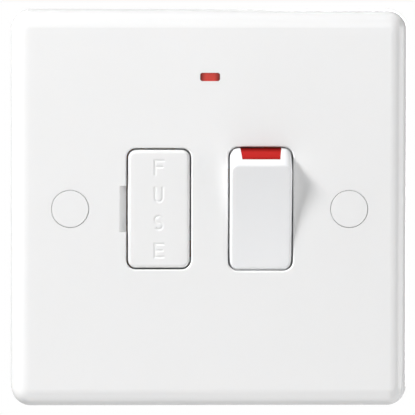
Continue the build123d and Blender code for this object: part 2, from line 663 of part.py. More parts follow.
def terminal_block(x, row, strip_x):
    """A brass pillar terminal: wire bore along the plate, clamp screw from behind, slot for its strip."""
    with BuildPart() as block:
        with BuildSketch(level(FLOOR)):
            with Locations((x, row * TERMINAL_UP)):
                Rectangle(TERMINAL_WIDTH, TERMINAL_LENGTH)
        extrude(amount=TERMINAL_DEPTH)
        chamfer(block.edges().filter_by(Axis.Z), TERMINAL_EDGE)
        with BuildSketch(lying(row * TERMINAL_UP)):
            with Locations((x, WIRE)):
                Circle(WIRE_RADIUS)
        extrude(amount=TERMINAL_LENGTH, both=True, mode=Mode.SUBTRACT)
        with BuildSketch(level(FLOOR)):
            with Locations((x, row * SCREW_UP)):
                Circle(TERMINAL_SCREW_RADIUS + TERMINAL_SCREW_GAP)
        extrude(amount=WIRE_RISE, mode=Mode.SUBTRACT)
        with BuildSketch(level(FLOOR)):
            with Locations((strip_x, row * TERMINAL_INNER)):
                Rectangle(STRIP_WIDTH, 2 * TERMINAL_SLOT)
        extrude(amount=STRIP_THICKNESS, mode=Mode.SUBTRACT)
    return block.part


for terminal_name, place in TERMINALS.items():
    keep(terminal_block(*place), terminal_name)

# Terminal screws: slotted cheese heads, backed out so that the wire bores are open
SCREW_TIP = WIRE - WIRE_RADIUS - TERMINAL_SCREW_GAP
SCREW_SEAT = SCREW_TIP - TERMINAL_SCREW_LENGTH
SCREW_BACK = SCREW_SEAT - TERMINAL_SCREW_HEAD_HEIGHT
TERMINAL_SCREW_POINTS = [(x, row * SCREW_UP) for x, row, strip_x in TERMINALS.values()]

with BuildPart() as terminal_screws:
    with BuildSketch(level(SCREW_SEAT)):
        with Locations(*TERMINAL_SCREW_POINTS):
            Circle(TERMINAL_SCREW_RADIUS)
    extrude(amount=TERMINAL_SCREW_LENGTH)
    with BuildSketch(level(SCREW_BACK)):
        with Locations(*TERMINAL_SCREW_POINTS):
            Circle(TERMINAL_SCREW_HEAD_RADIUS)
    extrude(amount=TERMINAL_SCREW_HEAD_HEIGHT)
    with BuildSketch(level(SCREW_BACK)):
        with Locations(*TERMINAL_SCREW_POINTS):
            Rectangle(2 * TERMINAL_SCREW_HEAD_RADIUS, DRIVE_SLOT_WIDTH)
    extrude(amount=DRIVE_SLOT_DEPTH, mode=Mode.SUBTRACT)
keep(terminal_screws.part, "terminal_screws")

# Fuse: ceramic tube with two pressed end caps
with BuildPart() as fuse_tube:
    with BuildSketch(lying(0)):
        with Locations((CARRIER_X, FUSE)):
            Circle(FUSE_CAP_RADIUS - FUSE_CAP_WALL)
    extrude(amount=FUSE_LENGTH / 2 - FUSE_END_WALL, both=True)
keep(fuse_tube.part, "fuse_tube")

with BuildPart() as fuse_end_caps:
    with BuildSketch(lying(0)):
        with Locations((CARRIER_X, FUSE)):
            Circle(FUSE_CAP_RADIUS)
    extrude(amount=FUSE_LENGTH / 2, both=True)
    with BuildSketch(lying(0)):
        with Locations((CARRIER_X, FUSE)):
            Circle(FUSE_CAP_RADIUS - FUSE_CAP_WALL)
    extrude(amount=FUSE_LENGTH / 2 - FUSE_END_WALL, both=True, mode=Mode.SUBTRACT)
    with BuildSketch(lying(0)):
        with Locations((CARRIER_X, FUSE)):
            Circle(2 * FUSE_CAP_RADIUS)
    extrude(amount=FUSE_LENGTH / 2 - FUSE_CAP_LENGTH, both=True, mode=Mode.SUBTRACT)
keep(fuse_end_caps.part, "fuse_end_caps")

# Fuse clips: spring jaws open to the front on a base plate, each with a tail down to the floor
JAW = FUSE_CAP_RADIUS + CLIP_GAP
JAW_TOP = FUSE + CLIP_LIP


def clip_jaws(start):
    """The clip's section across the fuse, drawn at the clip's lower end."""
    with BuildSketch(lying(start, CARRIER_X)) as jaws:
        with BuildLine():
            Polyline(
                (0, CLIP_FLOOR),
                (JAW, CLIP_FLOOR),
                (JAW, JAW_TOP),
                (JAW + CLIP_FLARE, JAW_TOP + CLIP_FLARE),
                (JAW + CLIP_FLARE + CLIP_WALL, JAW_TOP + CLIP_FLARE),
                (JAW + CLIP_WALL, JAW_TOP),
                (JAW + CLIP_WALL, PEDESTAL_TOP),
                (0, PEDESTAL_TOP),
                close=True,
            )
        make_face()
        mirror(about=Plane.YZ)
    return jaws.sketch


with BuildPart() as fuse_clip_lower:
    extrude(clip_jaws(-CLIP_NEAR), amount=CLIP_LENGTH)
    with BuildSketch(lying(-CLIP_NEAR)):
        with BuildLine():
            Polyline(
                (CARRIER_X, CLIP_FLOOR),
                (LINK_END, CLIP_FLOOR),
                (LINK_END, FLOOR),
                (LINK_END - CLIP_WALL, FLOOR),
                (LINK_END - CLIP_WALL, PEDESTAL_TOP),
                (CARRIER_X, PEDESTAL_TOP),
                close=True,
            )
        make_face()
    extrude(amount=STRIP_WIDTH)
keep(fuse_clip_lower.part, "fuse_clip_lower")

with BuildPart() as fuse_clip_upper:
    extrude(clip_jaws(CLIP_FAR), amount=CLIP_LENGTH)
    with BuildSketch(upright(LOAD_LIVE_X - STRIP_WIDTH / 2)):
        with BuildLine():
            Polyline(
                (CLIP_NEAR, CLIP_FLOOR),
                (PEDESTAL_FAR + STRIP_THICKNESS, CLIP_FLOOR),
                (PEDESTAL_FAR + STRIP_THICKNESS, STRIP_TOP),
                (STRIP_END, STRIP_TOP),
                (STRIP_END, FLOOR),
                (PEDESTAL_FAR, FLOOR),
                (PEDESTAL_FAR, PEDESTAL_TOP),
                (CLIP_NEAR, PEDESTAL_TOP),
                close=True,
            )
        make_face()
    extrude(amount=STRIP_WIDTH)
keep(fuse_clip_upper.part, "fuse_clip_upper")

# Fuse carrier: flush panel, side rails, a C-shaped cradle open to the left, and a barbed guide leg
PANEL_BACK = FACE - CARRIER_PANEL
LEG_OUT = CARRIER_WIDTH / 2
LEG_IN = LEG_OUT - LEG_THICKNESS
LEG_END = PANEL_BACK - LEG_LENGTH
CRADLE_RADIUS = FUSE_CAP_RADIUS - FUSE_CAP_WALL + CRADLE_GAP
CRADLE_FLOOR = FUSE - CRADLE_RADIUS - CRADLE_WALL
CRADLE_LEFT = CRADLE_RADIUS + CRADLE_WALL

with BuildPart() as fuse_carrier:
    with BuildSketch(level(PANEL_BACK)):
        with Locations((CARRIER_X, 0)):
            RectangleRounded(CARRIER_WIDTH, CARRIER_HEIGHT, APERTURE_RADIUS - MOVING_GAP)
    extrude(amount=CARRIER_PANEL)
    fillet(fuse_carrier.faces().sort_by(Axis.Y)[0].edges(), CARRIER_EDGE)
    with BuildSketch(level(PANEL_BACK)):
        with Locations((CARRIER_X, 0)):
            with GridLocations(CARRIER_WIDTH - CARRIER_RAIL, 1, 2, 1):
                Rectangle(CARRIER_RAIL, CARRIER_HEIGHT - 2 * APERTURE_RADIUS)
    extrude(amount=-CARRIER_RAIL_DEPTH)
    with BuildSketch(lying(0, CARRIER_X)):
        with Locations((-CRADLE_LEFT, CRADLE_FLOOR)):
            Rectangle(CRADLE_LEFT + LEG_OUT, PANEL_BACK - CRADLE_FLOOR, align=(Align.MIN, Align.MIN))
        with Locations((0, FUSE)):
            Circle(CRADLE_RADIUS, mode=Mode.SUBTRACT)
            Rectangle(
                2 * CRADLE_LEFT,
                CRADLE_MOUTH,
                align=(Align.MAX, Align.CENTER),
                mode=Mode.SUBTRACT,
            )
    extrude(amount=LEG_WIDTH / 2, both=True)
    with BuildSketch(lying(0, CARRIER_X)):
        with BuildLine():
            Polyline(
                (LEG_IN, PANEL_BACK),
                (LEG_OUT, PANEL_BACK),
                (LEG_OUT, LEG_END + BARB_HEIGHT),
                (LEG_OUT + BARB_DEPTH, LEG_END + BARB_HEIGHT),
                (LEG_OUT, LEG_END),
                (LEG_IN, LEG_END),
                close=True,
            )
        make_face()
    extrude(amount=LEG_WIDTH / 2, both=True)
keep(fuse_carrier.part, "fuse_carrier")

# Neon indicator: flanged lens in the window, lamp in its moulded cradle, resistor and leads
with BuildPart() as neon_lens:
    with BuildSketch(level(BACK)):
        with Locations((0, NEON_UP)):
            RectangleRounded(NEON_WIDTH, NEON_HEIGHT, NEON_RADIUS)
    extrude(amount=FRONT_WALL - NEON_RECESS)
    with BuildSketch(level(BACK)):
        with Locations((0, NEON_UP)):
            RectangleRounded(NEON_WIDTH + 2 * LENS_MARGIN, NEON_HEIGHT + 2 * LENS_MARGIN, NEON_RADIUS)
    extrude(amount=-LENS_FLANGE)
keep(neon_lens.part, "neon_lens")

with BuildPart() as neon_lamp:
    with BuildSketch(upright(-LAMP_LENGTH / 2)):
        with Locations((NEON_UP, LAMP)):
            Circle(LAMP_RADIUS)
    extrude(amount=LAMP_LENGTH)
    chamfer(neon_lamp.edges().filter_by(GeomType.CIRCLE), LAMP_RADIUS / 2)
keep(neon_lamp.part, "neon_lamp")

with BuildPart() as neon_resistor:
    with BuildSketch(upright(RESISTOR_START)):
        with Locations((NEON_UP, LAMP)):
            Circle(RESISTOR_RADIUS)
    extrude(amount=RESISTOR_LENGTH)
    chamfer(neon_resistor.edges().filter_by(GeomType.CIRCLE), RESISTOR_RADIUS / 2)
keep(neon_resistor.part, "neon_resistor")

RESISTOR_END = RESISTOR_START + RESISTOR_LENGTH


def lead_down(start_x, end_x):
    """A lead that leaves the lamp sideways, turns down over the housing and in to a terminal's front."""
    with BuildPart() as lead:
        with BuildLine() as route:
            FilletPolyline(
                (start_x, -LAMP, NEON_UP),
                (end_x, -LAMP, NEON_UP),
                (end_x, -LAMP, TERMINAL_UP),
                (end_x, -TERMINAL_FRONT, TERMINAL_UP),
                radius=LEAD_BEND,
            )
        with BuildSketch(Plane(origin=route.line @ 0, z_dir=route.line % 0)):
            RegularPolygon(LEAD_RADIUS, WIRE_SIDES)
        sweep(path=route.line)
    return lead.part


with BuildPart() as neon_leads:
    add(lead_down(-LAMP_LENGTH / 2, LOAD_LIVE_X))
    add(lead_down(RESISTOR_END, NEUTRAL_TERMINAL_X))
    with BuildSketch(upright(LAMP_LENGTH / 2)):
        with Locations((NEON_UP, LAMP)):
            RegularPolygon(LEAD_RADIUS, WIRE_SIDES)
    extrude(amount=RESISTOR_START - LAMP_LENGTH / 2)
keep(neon_leads.part, "neon_leads")

# Rear housing: open-fronted tray with terminal cells, clip pedestals, rocker bearings and screw columns
COLLAR_RADIUS = TERMINAL_SCREW_HEAD_RADIUS + CELL_GAP * 2 + COLLAR_WALL
COLUMN_TOP = BACK - PLATE_BOSS_LENGTH
CELL_TOP = TERMINAL_FRONT + CELL_RISE
PEDESTAL_UP = (PEDESTAL_NEAR + PEDESTAL_FAR) / 2
GUIDE_UP = LEG_WIDTH / 2 + MOVING_GAP + GUIDE_WIDTH / 2
GUIDE_X = CARRIER_X + (LEG_IN + LEG_OUT + BARB_DEPTH) / 2
SCREW_HEAD_SEAT = FLOOR + BASE_COLUMN_SEAT

with BuildPart() as rear_housing:
    with BuildSketch(level(BASE_BACK)):
        RectangleRounded(BASE_WIDTH, BASE_HEIGHT, BASE_CORNER)
    extrude(amount=BACK - BASE_BACK)
    fillet(rear_housing.faces().sort_by(Axis.Y)[-1].edges(), BASE_EDGE)
    with BuildSketch(level(FLOOR)):
        RectangleRounded(BASE_WIDTH - 2 * BASE_WALL, BASE_HEIGHT - 2 * BASE_WALL, BASE_CORNER - BASE_WALL)
    extrude(amount=BACK - FLOOR, mode=Mode.SUBTRACT)

    with BuildSketch(level(FLOOR)):
        for x, row, strip_x in TERMINALS.values():
            with Locations((x, row * TERMINAL_UP)):
                with GridLocations(TERMINAL_WIDTH + 2 * CELL_GAP + CELL_WALL, 1, 2, 1):
                    Rectangle(CELL_WALL, TERMINAL_LENGTH)
    extrude(amount=CELL_TOP - FLOOR)
    with BuildSketch(level(FLOOR)):
        with Locations((CARRIER_X, 0)):
            with GridLocations(1, 2 * PEDESTAL_UP, 1, 2):
                Rectangle(2 * PEDESTAL_HALF, PEDESTAL_FAR - PEDESTAL_NEAR)
    extrude(amount=PEDESTAL_TOP - FLOOR)
    with BuildSketch(level(FLOOR)):
        with Locations((EARTH_X, 0)):
            Rectangle(STRIP_WIDTH + 2 * CELL_GAP, 2 * TERMINAL_INNER)
    extrude(amount=STRIP_THICKNESS + CELL_GAP, mode=Mode.SUBTRACT)
    with BuildSketch(level(FLOOR)):
        with Locations((GUIDE_X, 0)):
            with GridLocations(1, 2 * GUIDE_UP, 1, 2):
                Rectangle(LEG_THICKNESS + BARB_DEPTH, GUIDE_WIDTH)
    extrude(amount=PANEL_BACK - CARRIER_RAIL_DEPTH - MOVING_GAP - FLOOR)
    with BuildSketch(level(FLOOR)):
        with Locations((ROCKER_X, 0)):
            Rectangle(BARRIER_WIDTH, CONTACT_LENGTH)
    extrude(amount=BARRIER_HEIGHT)
    for direction in (-1, 1):
        with BuildSketch(upright(ROCKER_X + direction * BEARING_X - BEARING_WIDTH / 2)):
            with Locations((0, FLOOR)):
                Rectangle(BEARING_SPAN, PIVOT + BEARING_RISE - FLOOR, align=(Align.CENTER, Align.MIN))
            with Locations((0, PIVOT)):
                Circle(TRUNNION_RADIUS + BEARING_GAP, mode=Mode.SUBTRACT)
                Rectangle(
                    2 * (TRUNNION_RADIUS + BEARING_GAP),
                    2 * BEARING_RISE,
                    align=(Align.CENTER, Align.MIN),
                    mode=Mode.SUBTRACT,
                )
        extrude(amount=BEARING_WIDTH)

    with BuildSketch(level(FLOOR)):
        with Locations(UPPER_COLUMN, LOWER_COLUMN):
            Circle(BASE_COLUMN_RADIUS)
    extrude(amount=COLUMN_TOP - FLOOR)
    with BuildSketch(level(BASE_BACK)):
        with Locations(UPPER_COLUMN, LOWER_COLUMN):
            Circle(BASE_SCREW_RADIUS + BASE_SCREW_GAP)
    extrude(amount=COLUMN_TOP - BASE_BACK, mode=Mode.SUBTRACT)
    with BuildSketch(level(BASE_BACK)):
        with Locations(UPPER_COLUMN, LOWER_COLUMN):
            Circle(BASE_SCREW_HEAD_RADIUS + BASE_SCREW_GAP)
    extrude(amount=SCREW_HEAD_SEAT - BASE_BACK, mode=Mode.SUBTRACT)

    with BuildSketch(level(FLOOR)):
        with Locations(*TERMINAL_SCREW_POINTS):
            Circle(COLLAR_RADIUS)
    extrude(amount=-BASE_FLOOR - COLLAR_HEIGHT)
    with BuildSketch(level(BASE_BACK - COLLAR_HEIGHT)):
        with Locations(*TERMINAL_SCREW_POINTS):
            Circle(COLLAR_RADIUS - COLLAR_WALL)
    extrude(amount=COLLAR_HEIGHT + BASE_FLOOR, mode=Mode.SUBTRACT)
    for x, row, strip_x in TERMINALS.values():
        with BuildSketch(lying(row * BASE_HEIGHT / 2)):
            with Locations((x, WIRE)):
                Circle(WIRE_ENTRY_RADIUS)
        extrude(amount=row * BASE_WALL, mode=Mode.SUBTRACT)
    for end in (0, -1):
        side = rear_housing.faces().sort_by(Axis.Z)[end]
        chamfer([edge for wire in side.inner_wires() for edge in wire.edges()], WIRE_ENTRY_EDGE)
    with BuildSketch(level(BACK)):
        with Locations((LOAD_LIVE_X, BASE_HEIGHT / 2), (NEUTRAL_TERMINAL_X, BASE_HEIGHT / 2)):
            Rectangle(LEAD_NOTCH, 2 * BASE_WALL)
    extrude(amount=LAMP - LEAD_NOTCH / 2 - BACK, mode=Mode.SUBTRACT)
keep(rear_housing.part, "rear_housing")

# Housing screws: pan heads sunk in the back, up through the columns into the plate's bosses
with BuildPart() as housing_screws:
    with BuildSketch(level(SCREW_HEAD_SEAT)):
        with Locations(UPPER_COLUMN, LOWER_COLUMN):
            Circle(BASE_SCREW_RADIUS)
    extrude(amount=BASE_SCREW_LENGTH)
    with BuildSketch(level(SCREW_HEAD_SEAT)):
        with Locations(UPPER_COLUMN, LOWER_COLUMN):
            Circle(BASE_SCREW_HEAD_RADIUS)
    extrude(amount=-BASE_SCREW_HEAD_HEIGHT)
    with BuildSketch(level(SCREW_HEAD_SEAT - BASE_SCREW_HEAD_HEIGHT)):
        with Locations(UPPER_COLUMN, LOWER_COLUMN):
            Rectangle(2 * BASE_SCREW_HEAD_RADIUS, DRIVE_SLOT_WIDTH)
            Rectangle(DRIVE_SLOT_WIDTH, 2 * BASE_SCREW_HEAD_RADIUS)
    extrude(amount=DRIVE_SLOT_DEPTH, mode=Mode.SUBTRACT)
keep(housing_screws.part, "housing_screws")
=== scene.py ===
"""Looks of a switched fused connection unit: finishes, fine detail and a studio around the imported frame."""

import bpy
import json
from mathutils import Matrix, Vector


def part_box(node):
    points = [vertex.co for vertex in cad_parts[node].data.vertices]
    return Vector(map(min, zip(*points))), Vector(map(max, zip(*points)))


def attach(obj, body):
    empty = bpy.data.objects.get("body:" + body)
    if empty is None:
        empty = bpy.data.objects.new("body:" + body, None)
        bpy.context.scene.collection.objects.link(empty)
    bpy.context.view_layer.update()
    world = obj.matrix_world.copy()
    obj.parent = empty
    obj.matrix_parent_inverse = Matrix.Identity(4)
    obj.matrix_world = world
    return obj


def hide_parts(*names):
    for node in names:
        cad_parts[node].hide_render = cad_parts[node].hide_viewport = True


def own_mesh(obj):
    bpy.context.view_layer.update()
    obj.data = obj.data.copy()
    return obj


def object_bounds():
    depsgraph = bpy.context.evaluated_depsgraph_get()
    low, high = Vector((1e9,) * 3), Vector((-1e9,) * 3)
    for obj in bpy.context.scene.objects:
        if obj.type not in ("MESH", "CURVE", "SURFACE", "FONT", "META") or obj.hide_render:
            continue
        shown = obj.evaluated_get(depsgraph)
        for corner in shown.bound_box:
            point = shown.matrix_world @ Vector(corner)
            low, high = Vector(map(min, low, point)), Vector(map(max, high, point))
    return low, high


bl_info = {
    "name": "Fused spur unit",
    "version": (1, 0, 0),
    "blender": (4, 5, 0),
    "location": "3D View > Sidebar > Spur unit",
    "description": "Finishes and fine detail of a switched fused connection unit",
    "category": "Object",
}

import json
import math
from typing import NamedTuple

import bmesh
import bpy
from bpy.props import FloatProperty, FloatVectorProperty, IntProperty, PointerProperty
from bpy.types import Operator, Panel, PropertyGroup
from mathutils import Matrix, Vector

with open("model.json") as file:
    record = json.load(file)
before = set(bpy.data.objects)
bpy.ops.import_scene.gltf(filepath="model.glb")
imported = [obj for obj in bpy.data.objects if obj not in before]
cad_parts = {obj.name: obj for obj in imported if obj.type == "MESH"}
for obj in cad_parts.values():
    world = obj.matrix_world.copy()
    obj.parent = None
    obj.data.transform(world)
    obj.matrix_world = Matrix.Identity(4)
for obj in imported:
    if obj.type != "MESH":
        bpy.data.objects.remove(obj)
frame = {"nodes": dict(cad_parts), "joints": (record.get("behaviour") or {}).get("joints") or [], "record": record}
NODES = frame["nodes"]
MOUNTS = {mount["name"]: mount for mount in frame["record"]["mounts"]}
JOINTS = {joint["name"]: joint for joint in frame["joints"]}
CAD_LOW, CAD_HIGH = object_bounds()

MM = 0.001
TERMINALS = [name for name in NODES if name.endswith("_terminal")]
STRIPS = [name for name in NODES if name.endswith(("_strip", "_rocking_contact"))]
CLIPS = [name for name in NODES if name.startswith("fuse_clip")]
TIPS = [name for name in NODES if name.endswith(("_tip", "_tips"))]
POLES = ("live", "neutral")
ACROSS, INWARD = Vector((1, 0, 0)), Vector((0, 1, 0))
WHITE = (1.0, 1.0, 1.0, 1.0)

# Distance within which a point lies on a face, and within which two corners are one.
ON_FACE, SAME_CORNER = 0.01 * MM, 1e-7
# A normal with a part above the first lies along an axis; a direction above the second counts as upright.
SQUARE, UPRIGHT = 0.99999, 0.9
# Angles in degrees above which an edge stays sharp.
SHARP, SHARP_ENGRAVED, SHARP_COIL = 35.0, 24.0, 60.0
# Steps along bends and arcs, and sides and rings of threads, coils, lamp glass, resistor and floor.
BEND_STEPS, ARC_STEPS = 8, 14
THREAD_SIDES, RINGS_PER_PITCH = 40, 10
COIL_SIDES, STEPS_PER_TURN = 10, 28
GLASS_STEPS, RESISTOR_STEPS = 40, 48
FLOOR_SIDES = 96

# Shares of half a thread's pitch that its root and its flank take.
THREAD_ROOT, THREAD_FLANK = 0.12, 0.72
# Share of a spring's rise that its coils give up to close towards the ends.
COIL_CLOSING = 0.25
# Engraved letters: height and reach of the middle bar of the F, and reach of that of the E.
F_BAR_UP, F_BAR_REACH, E_BAR_REACH = 0.05, 0.75, 0.8
# Lamp: dome and electrodes as shares of its radius, electrodes' length and starts as shares of its length.
DOME, ROD_THICK, ROD_APART = 0.8, 0.2, 0.3
ROD_REACH, ROD_STARTS = 0.44, {-1: 0.2, 1: 0.36}
# The lamp's ends are this much thicker than a lead.
NECK = 1.1
# Resistor: its waist, and where the flare and the round end start and how long they are, from the middle.
WAIST, FLARE_START, FLARE_SPAN = 0.86, 0.45, 0.2
ROUND_START, ROUND_SPAN = 0.84, 0.16


class Moulding(NamedTuple):
    """A moulded plastic: grain in waves per metre, relief in metres and the share of light that sinks in."""

    tone: str
    roughness: float
    grain: float
    relief: float
    sunk: float = 0.0


class Metal(NamedTuple):
    """A worked metal: tool lines in waves per metre by axis, relief in metres and tarnished shade."""

    tone: str
    roughness: float
    lines: tuple
    relief: float
    tarnish: float = 0.82


class LightPlace(NamedTuple):
    """Where a light stands: azimuth and elevation in degrees, distance and side in metres."""

    azimuth: float
    elevation: float
    distance: float
    side: float


MOULDINGS = {
    "white_moulding": Moulding("white", 0.2, 650.0, 0.004 * MM, 0.2),
    "rocker_moulding": Moulding("rocker", 0.2, 650.0, 0.004 * MM, 0.2),
    "housing_moulding": Moulding("housing", 0.5, 3600.0, 0.02 * MM),
    "plunger_nylon": Moulding("nylon", 0.42, 1800.0, 0.008 * MM),
    "lead_sleeve": Moulding("sleeve", 0.36, 1500.0, 0.006 * MM),
}
METALS = {
    "fuse_cap_nickel": Metal("nickel", 0.2, (4200, 4200, 300), 0.003 * MM, 0.9),
    "clip_bronze_strip": Metal("bronze", 0.28, (900, 5000, 900), 0.004 * MM),
    "terminal_brass": Metal("brass", 0.26, (600, 5200, 600), 0.006 * MM),
    "strip_copper": Metal("copper", 0.3, (5200, 900, 420), 0.005 * MM),
    "tip_silver": Metal("silver", 0.18, (2600, 2600, 2600), 0.003 * MM, 0.9),
    "screw_zinc_plate": Metal("steel", 0.24, (2400, 700, 2400), 0.004 * MM, 0.88),
    "screw_brass_plate": Metal("brass", 0.24, (3000, 800, 3000), 0.004 * MM),
    "spring_wire_steel": Metal("spring", 0.25, (2000, 2000, 2000), 0.002 * MM, 0.9),
    "electrode_nickel": Metal("nickel", 0.35, (900, 4000, 4000), 0.003 * MM),
}
# Plastics: how deep light sinks in, by colour channel, and the drift of tone in shade and waves per metre.
PLASTIC_IOR = 1.5
SINK_DEPTH, SINK_BY_CHANNEL = 1.0 * MM, (1.0, 0.95, 0.9)
DRIFT_SHADE, DRIFT_WAVES = 0.975, 40.0
# Metals: waves per metre of the tarnish, and the roughness that tarnish and tool lines add.
TARNISH_WAVES, TARNISH_ROUGHNESS, LINE_ROUGHNESS = 380.0, 0.16, 0.08
# Lens: painted light and shade, bright over the lamp: shares of its half length where the painted shade starts to
# darken it and is dark, how uneven that is, and its ribs in radians per metre.
LENS_PAINTED_LIGHT, LENS_PAINTED_SHADE, LENS_UNEVEN, LENS_RIBS = 0.3, 0.82, 0.12, 18000.0
# Flag: painted shade, darker towards its top and its foot: shares of its height between which it darkens upwards
# and downwards, its darkest shade, and how far the foot goes towards that.
FLAG_TOP_PAINTED_SHADE, FLAG_FOOT_PAINTED_SHADE = (0.66, 0.94), (0.42, 0.18)
FLAG_PAINTED_SHADE, FOOT_SHARE = 0.4, 0.6
# Resistor bands: where each starts as a share of the length, its colour, and the width of all.
BANDS = (
    (0.2, (0.13, 0.05, 0.02)),
    (0.34, (0.03, 0.20, 0.06)),
    (0.48, (0.70, 0.50, 0.04)),
    (0.74, (0.45, 0.30, 0.08)),
)
BAND_WIDTH = 0.07

LIGHTS = {
    "key": LightPlace(-61, 34.7, 1.1, 0.3),
    "right": LightPlace(80, 0, 0.8, 0.5),
    "low": LightPlace(0, -70, 0.38, 0.3),
    "front": LightPlace(0, 20, 0.9, 0.6),
    "back": LightPlace(160, 8, 1.1, 0.6),
}
CAMERA_NEAR = 0.01
# Floor: its grey for light that falls on the unit and its tone to look at, the share of it that glows white
# near the unit, and the shares of its radius between which the rest comes to glow too.
FLOOR_GREY, FLOOR_PALE = (0.3, 0.3, 0.3, 1.0), (0.9, 0.9, 0.9, 1.0)
GLOW_NEAR, FADE_START, FADE_END = 0.55, 0.35, 0.95


def colour(name, description, default):
    """A colour that a user would change."""
    return FloatVectorProperty(
        name=name, description=description, default=default, size=3, subtype="COLOR", min=0.0, max=1.0
    )


def length(name, description, default):
    """A length that a user would change."""
    return FloatProperty(name=name, description=description, default=default, unit="LENGTH", precision=5)


def angle(name, description, default):
    """An angle that a user would change, given in degrees."""
    return FloatProperty(name=name, description=description, default=math.radians(default), subtype="ANGLE")


def power(name, description, default):
    """A light's power that a user would change."""
    return FloatProperty(name=name, description=description, default=default, unit="POWER", precision=4)


def fraction(name, description, default):
    """A share from 0 to 1 that a user would change."""
    return FloatProperty(
        name=name, description=description, default=default, min=0.0, max=1.0, subtype="FACTOR", precision=4
    )


class FinishSettings(PropertyGroup):
    """Colours of the unit's materials."""

    white: colour("White moulding", "Plate, fuse carrier and caps", (0.87, 0.87, 0.87))
    rocker: colour("Rocker", "Rocker of the switch", (0.885, 0.89, 0.9))
    housing: colour("Housing", "Rear housing", (0.74, 0.745, 0.74))
    flag: colour("Flag", "Red flag in the rocker's end", (0.465, 0.016, 0.013))
    # The lens's red over the lamp and at its ends; the change from one to the other is painted light and shade,
    # bright where the lamp lies behind.
    lens: colour("Lens", "Neon lens over the lamp", (0.6, 0.06, 0.045))
    lens_painted_shade: colour("Lens ends", "Neon lens away from the lamp", (0.1, 0.013, 0.01))
    nylon: colour("Nylon", "Sprung plungers", (0.78, 0.77, 0.72))
    sleeve: colour("Sleeve", "Sleeved leads of the neon lamp", (0.75, 0.75, 0.73))
    resistor: colour("Resistor", "Lacquered resistor body", (0.60, 0.47, 0.30))
    brass: colour("Brass", "Terminals and their screws", (0.72, 0.53, 0.24))
    copper: colour("Copper", "Strips and rocking contacts", (0.78, 0.42, 0.26))
    bronze: colour("Bronze", "Fuse clips", (0.70, 0.48, 0.28))
    silver: colour("Silver", "Contact tips", (0.82, 0.82, 0.80))
    nickel: colour("Nickel", "Fuse caps and electrodes", (0.72, 0.72, 0.70))
    steel: colour("Zinc plate", "Fixing and housing screws", (0.66, 0.66, 0.64))
    spring: colour("Spring wire", "Plunger springs", (0.60, 0.60, 0.60))
    ceramic: colour("Ceramic", "Fuse tube", (0.85, 0.83, 0.78))


class MarkingSettings(PropertyGroup):
    """The engraved word on the fuse carrier."""

    height: length("Letter height", "Height of each letter", 3.6 * MM)
    width: length("Letter width", "Width of each letter", 2.4 * MM)
    stroke: length("Stroke", "Width of a stroke at the surface", 0.78 * MM)
    pitch: length("Pitch", "Distance from one letter to the next", 6.0 * MM)
    depth: length("Depth", "Depth of the engraving", 0.12 * MM)
    floor_share: fraction("Floor share", "Width of a stroke's floor as a share of its width", 0.06)


class WireSettings(PropertyGroup):
    """Threads, springs and leads."""

    fixing_pitch: length("Fixing thread pitch", "Pitch of the fixing screws", 0.6 * MM)
    clamp_pitch: length("Clamp thread pitch", "Pitch of the terminal screws", 0.7 * MM)
    thread_depth: length("Thread depth", "Depth of the screw threads", 0.36 * MM)
    head_height: length("Clamp head height", "Head height of the terminal screws", 2.0 * MM)
    spring_wire: length("Spring wire", "Radius of the spring wire", 0.22 * MM)
    spring_turns: FloatProperty(name="Spring turns", description="Turns of each plunger spring", default=6.5)
    lead_radius: length("Lead radius", "Radius of the sleeved leads", 0.5 * MM)
    lead_bend: length("Lead bend", "Radius of a bend in a lead", 2.0 * MM)
    sides: IntProperty(name="Sides", description="Sides of a round wire", default=16, min=6)


class StageSettings(PropertyGroup):
    """Camera, lights and floor."""

    distance: length("Camera distance", "Camera to the middle of the front face", 1.0)
    azimuth: angle("Camera azimuth", "Camera to the right of straight on", -2.1)
    elevation: angle("Camera elevation", "Camera above straight on", 3.2)
    roll: angle("Camera roll", "Turn of the picture", 0.13)
    view_width: length("View width", "Width seen at the front face", 89.6 * MM)
    aim_across: length("Aim across", "Point that the camera looks at, across", -0.5 * MM)
    aim_up: length("Aim up", "Point that the camera looks at, up", 0.32 * MM)
    key: power("Key light", "Power of the key light from the upper left", 15.2)
    right: power("Right light", "Power of the soft light from the right", 3.05)
    low: power("Low light", "Power of the soft light from below", 0.73)
    front: power("Front light", "Power of the soft light from the front", 2.25)
    back: power("Back light", "Power of the soft light from behind", 9.0)
    world: fraction("World", "Level of the light from all round", 0.02)
    mirrored: fraction("Mirrored", "Level of the white surroundings in polished surfaces", 0.8)
    floor_drop: length("Floor drop", "Floor below the plate", 1.2)
    floor_radius: length("Floor radius", "Radius of the floor", 3.0)


class SpurSettings(PropertyGroup):
    """All the settings of the unit."""

    finish: PointerProperty(type=FinishSettings)
    marking: PointerProperty(type=MarkingSettings)
    wire: PointerProperty(type=WireSettings)
    stage: PointerProperty(type=StageSettings)


def settings():
    """The settings stored in the scene."""
    return bpy.context.scene.spur


class Value:
    """An output socket of a node tree. Arithmetic on it adds Math nodes."""

    def __init__(self, tree, socket):
        self.tree = tree
        self.socket = socket

    def __add__(self, other):
        return self.tree.math("ADD", self, other)

    def __radd__(self, other):
        return self.tree.math("ADD", other, self)

    def __sub__(self, other):
        return self.tree.math("SUBTRACT", self, other)

    def __rsub__(self, other):
        return self.tree.math("SUBTRACT", other, self)

    def __mul__(self, other):
        return self.tree.math("MULTIPLY", self, other)

    def __rmul__(self, other):
        return self.tree.math("MULTIPLY", other, self)

    def __truediv__(self, other):
        return self.tree.math("DIVIDE", self, other)

    def __rtruediv__(self, other):
        return self.tree.math("DIVIDE", other, self)


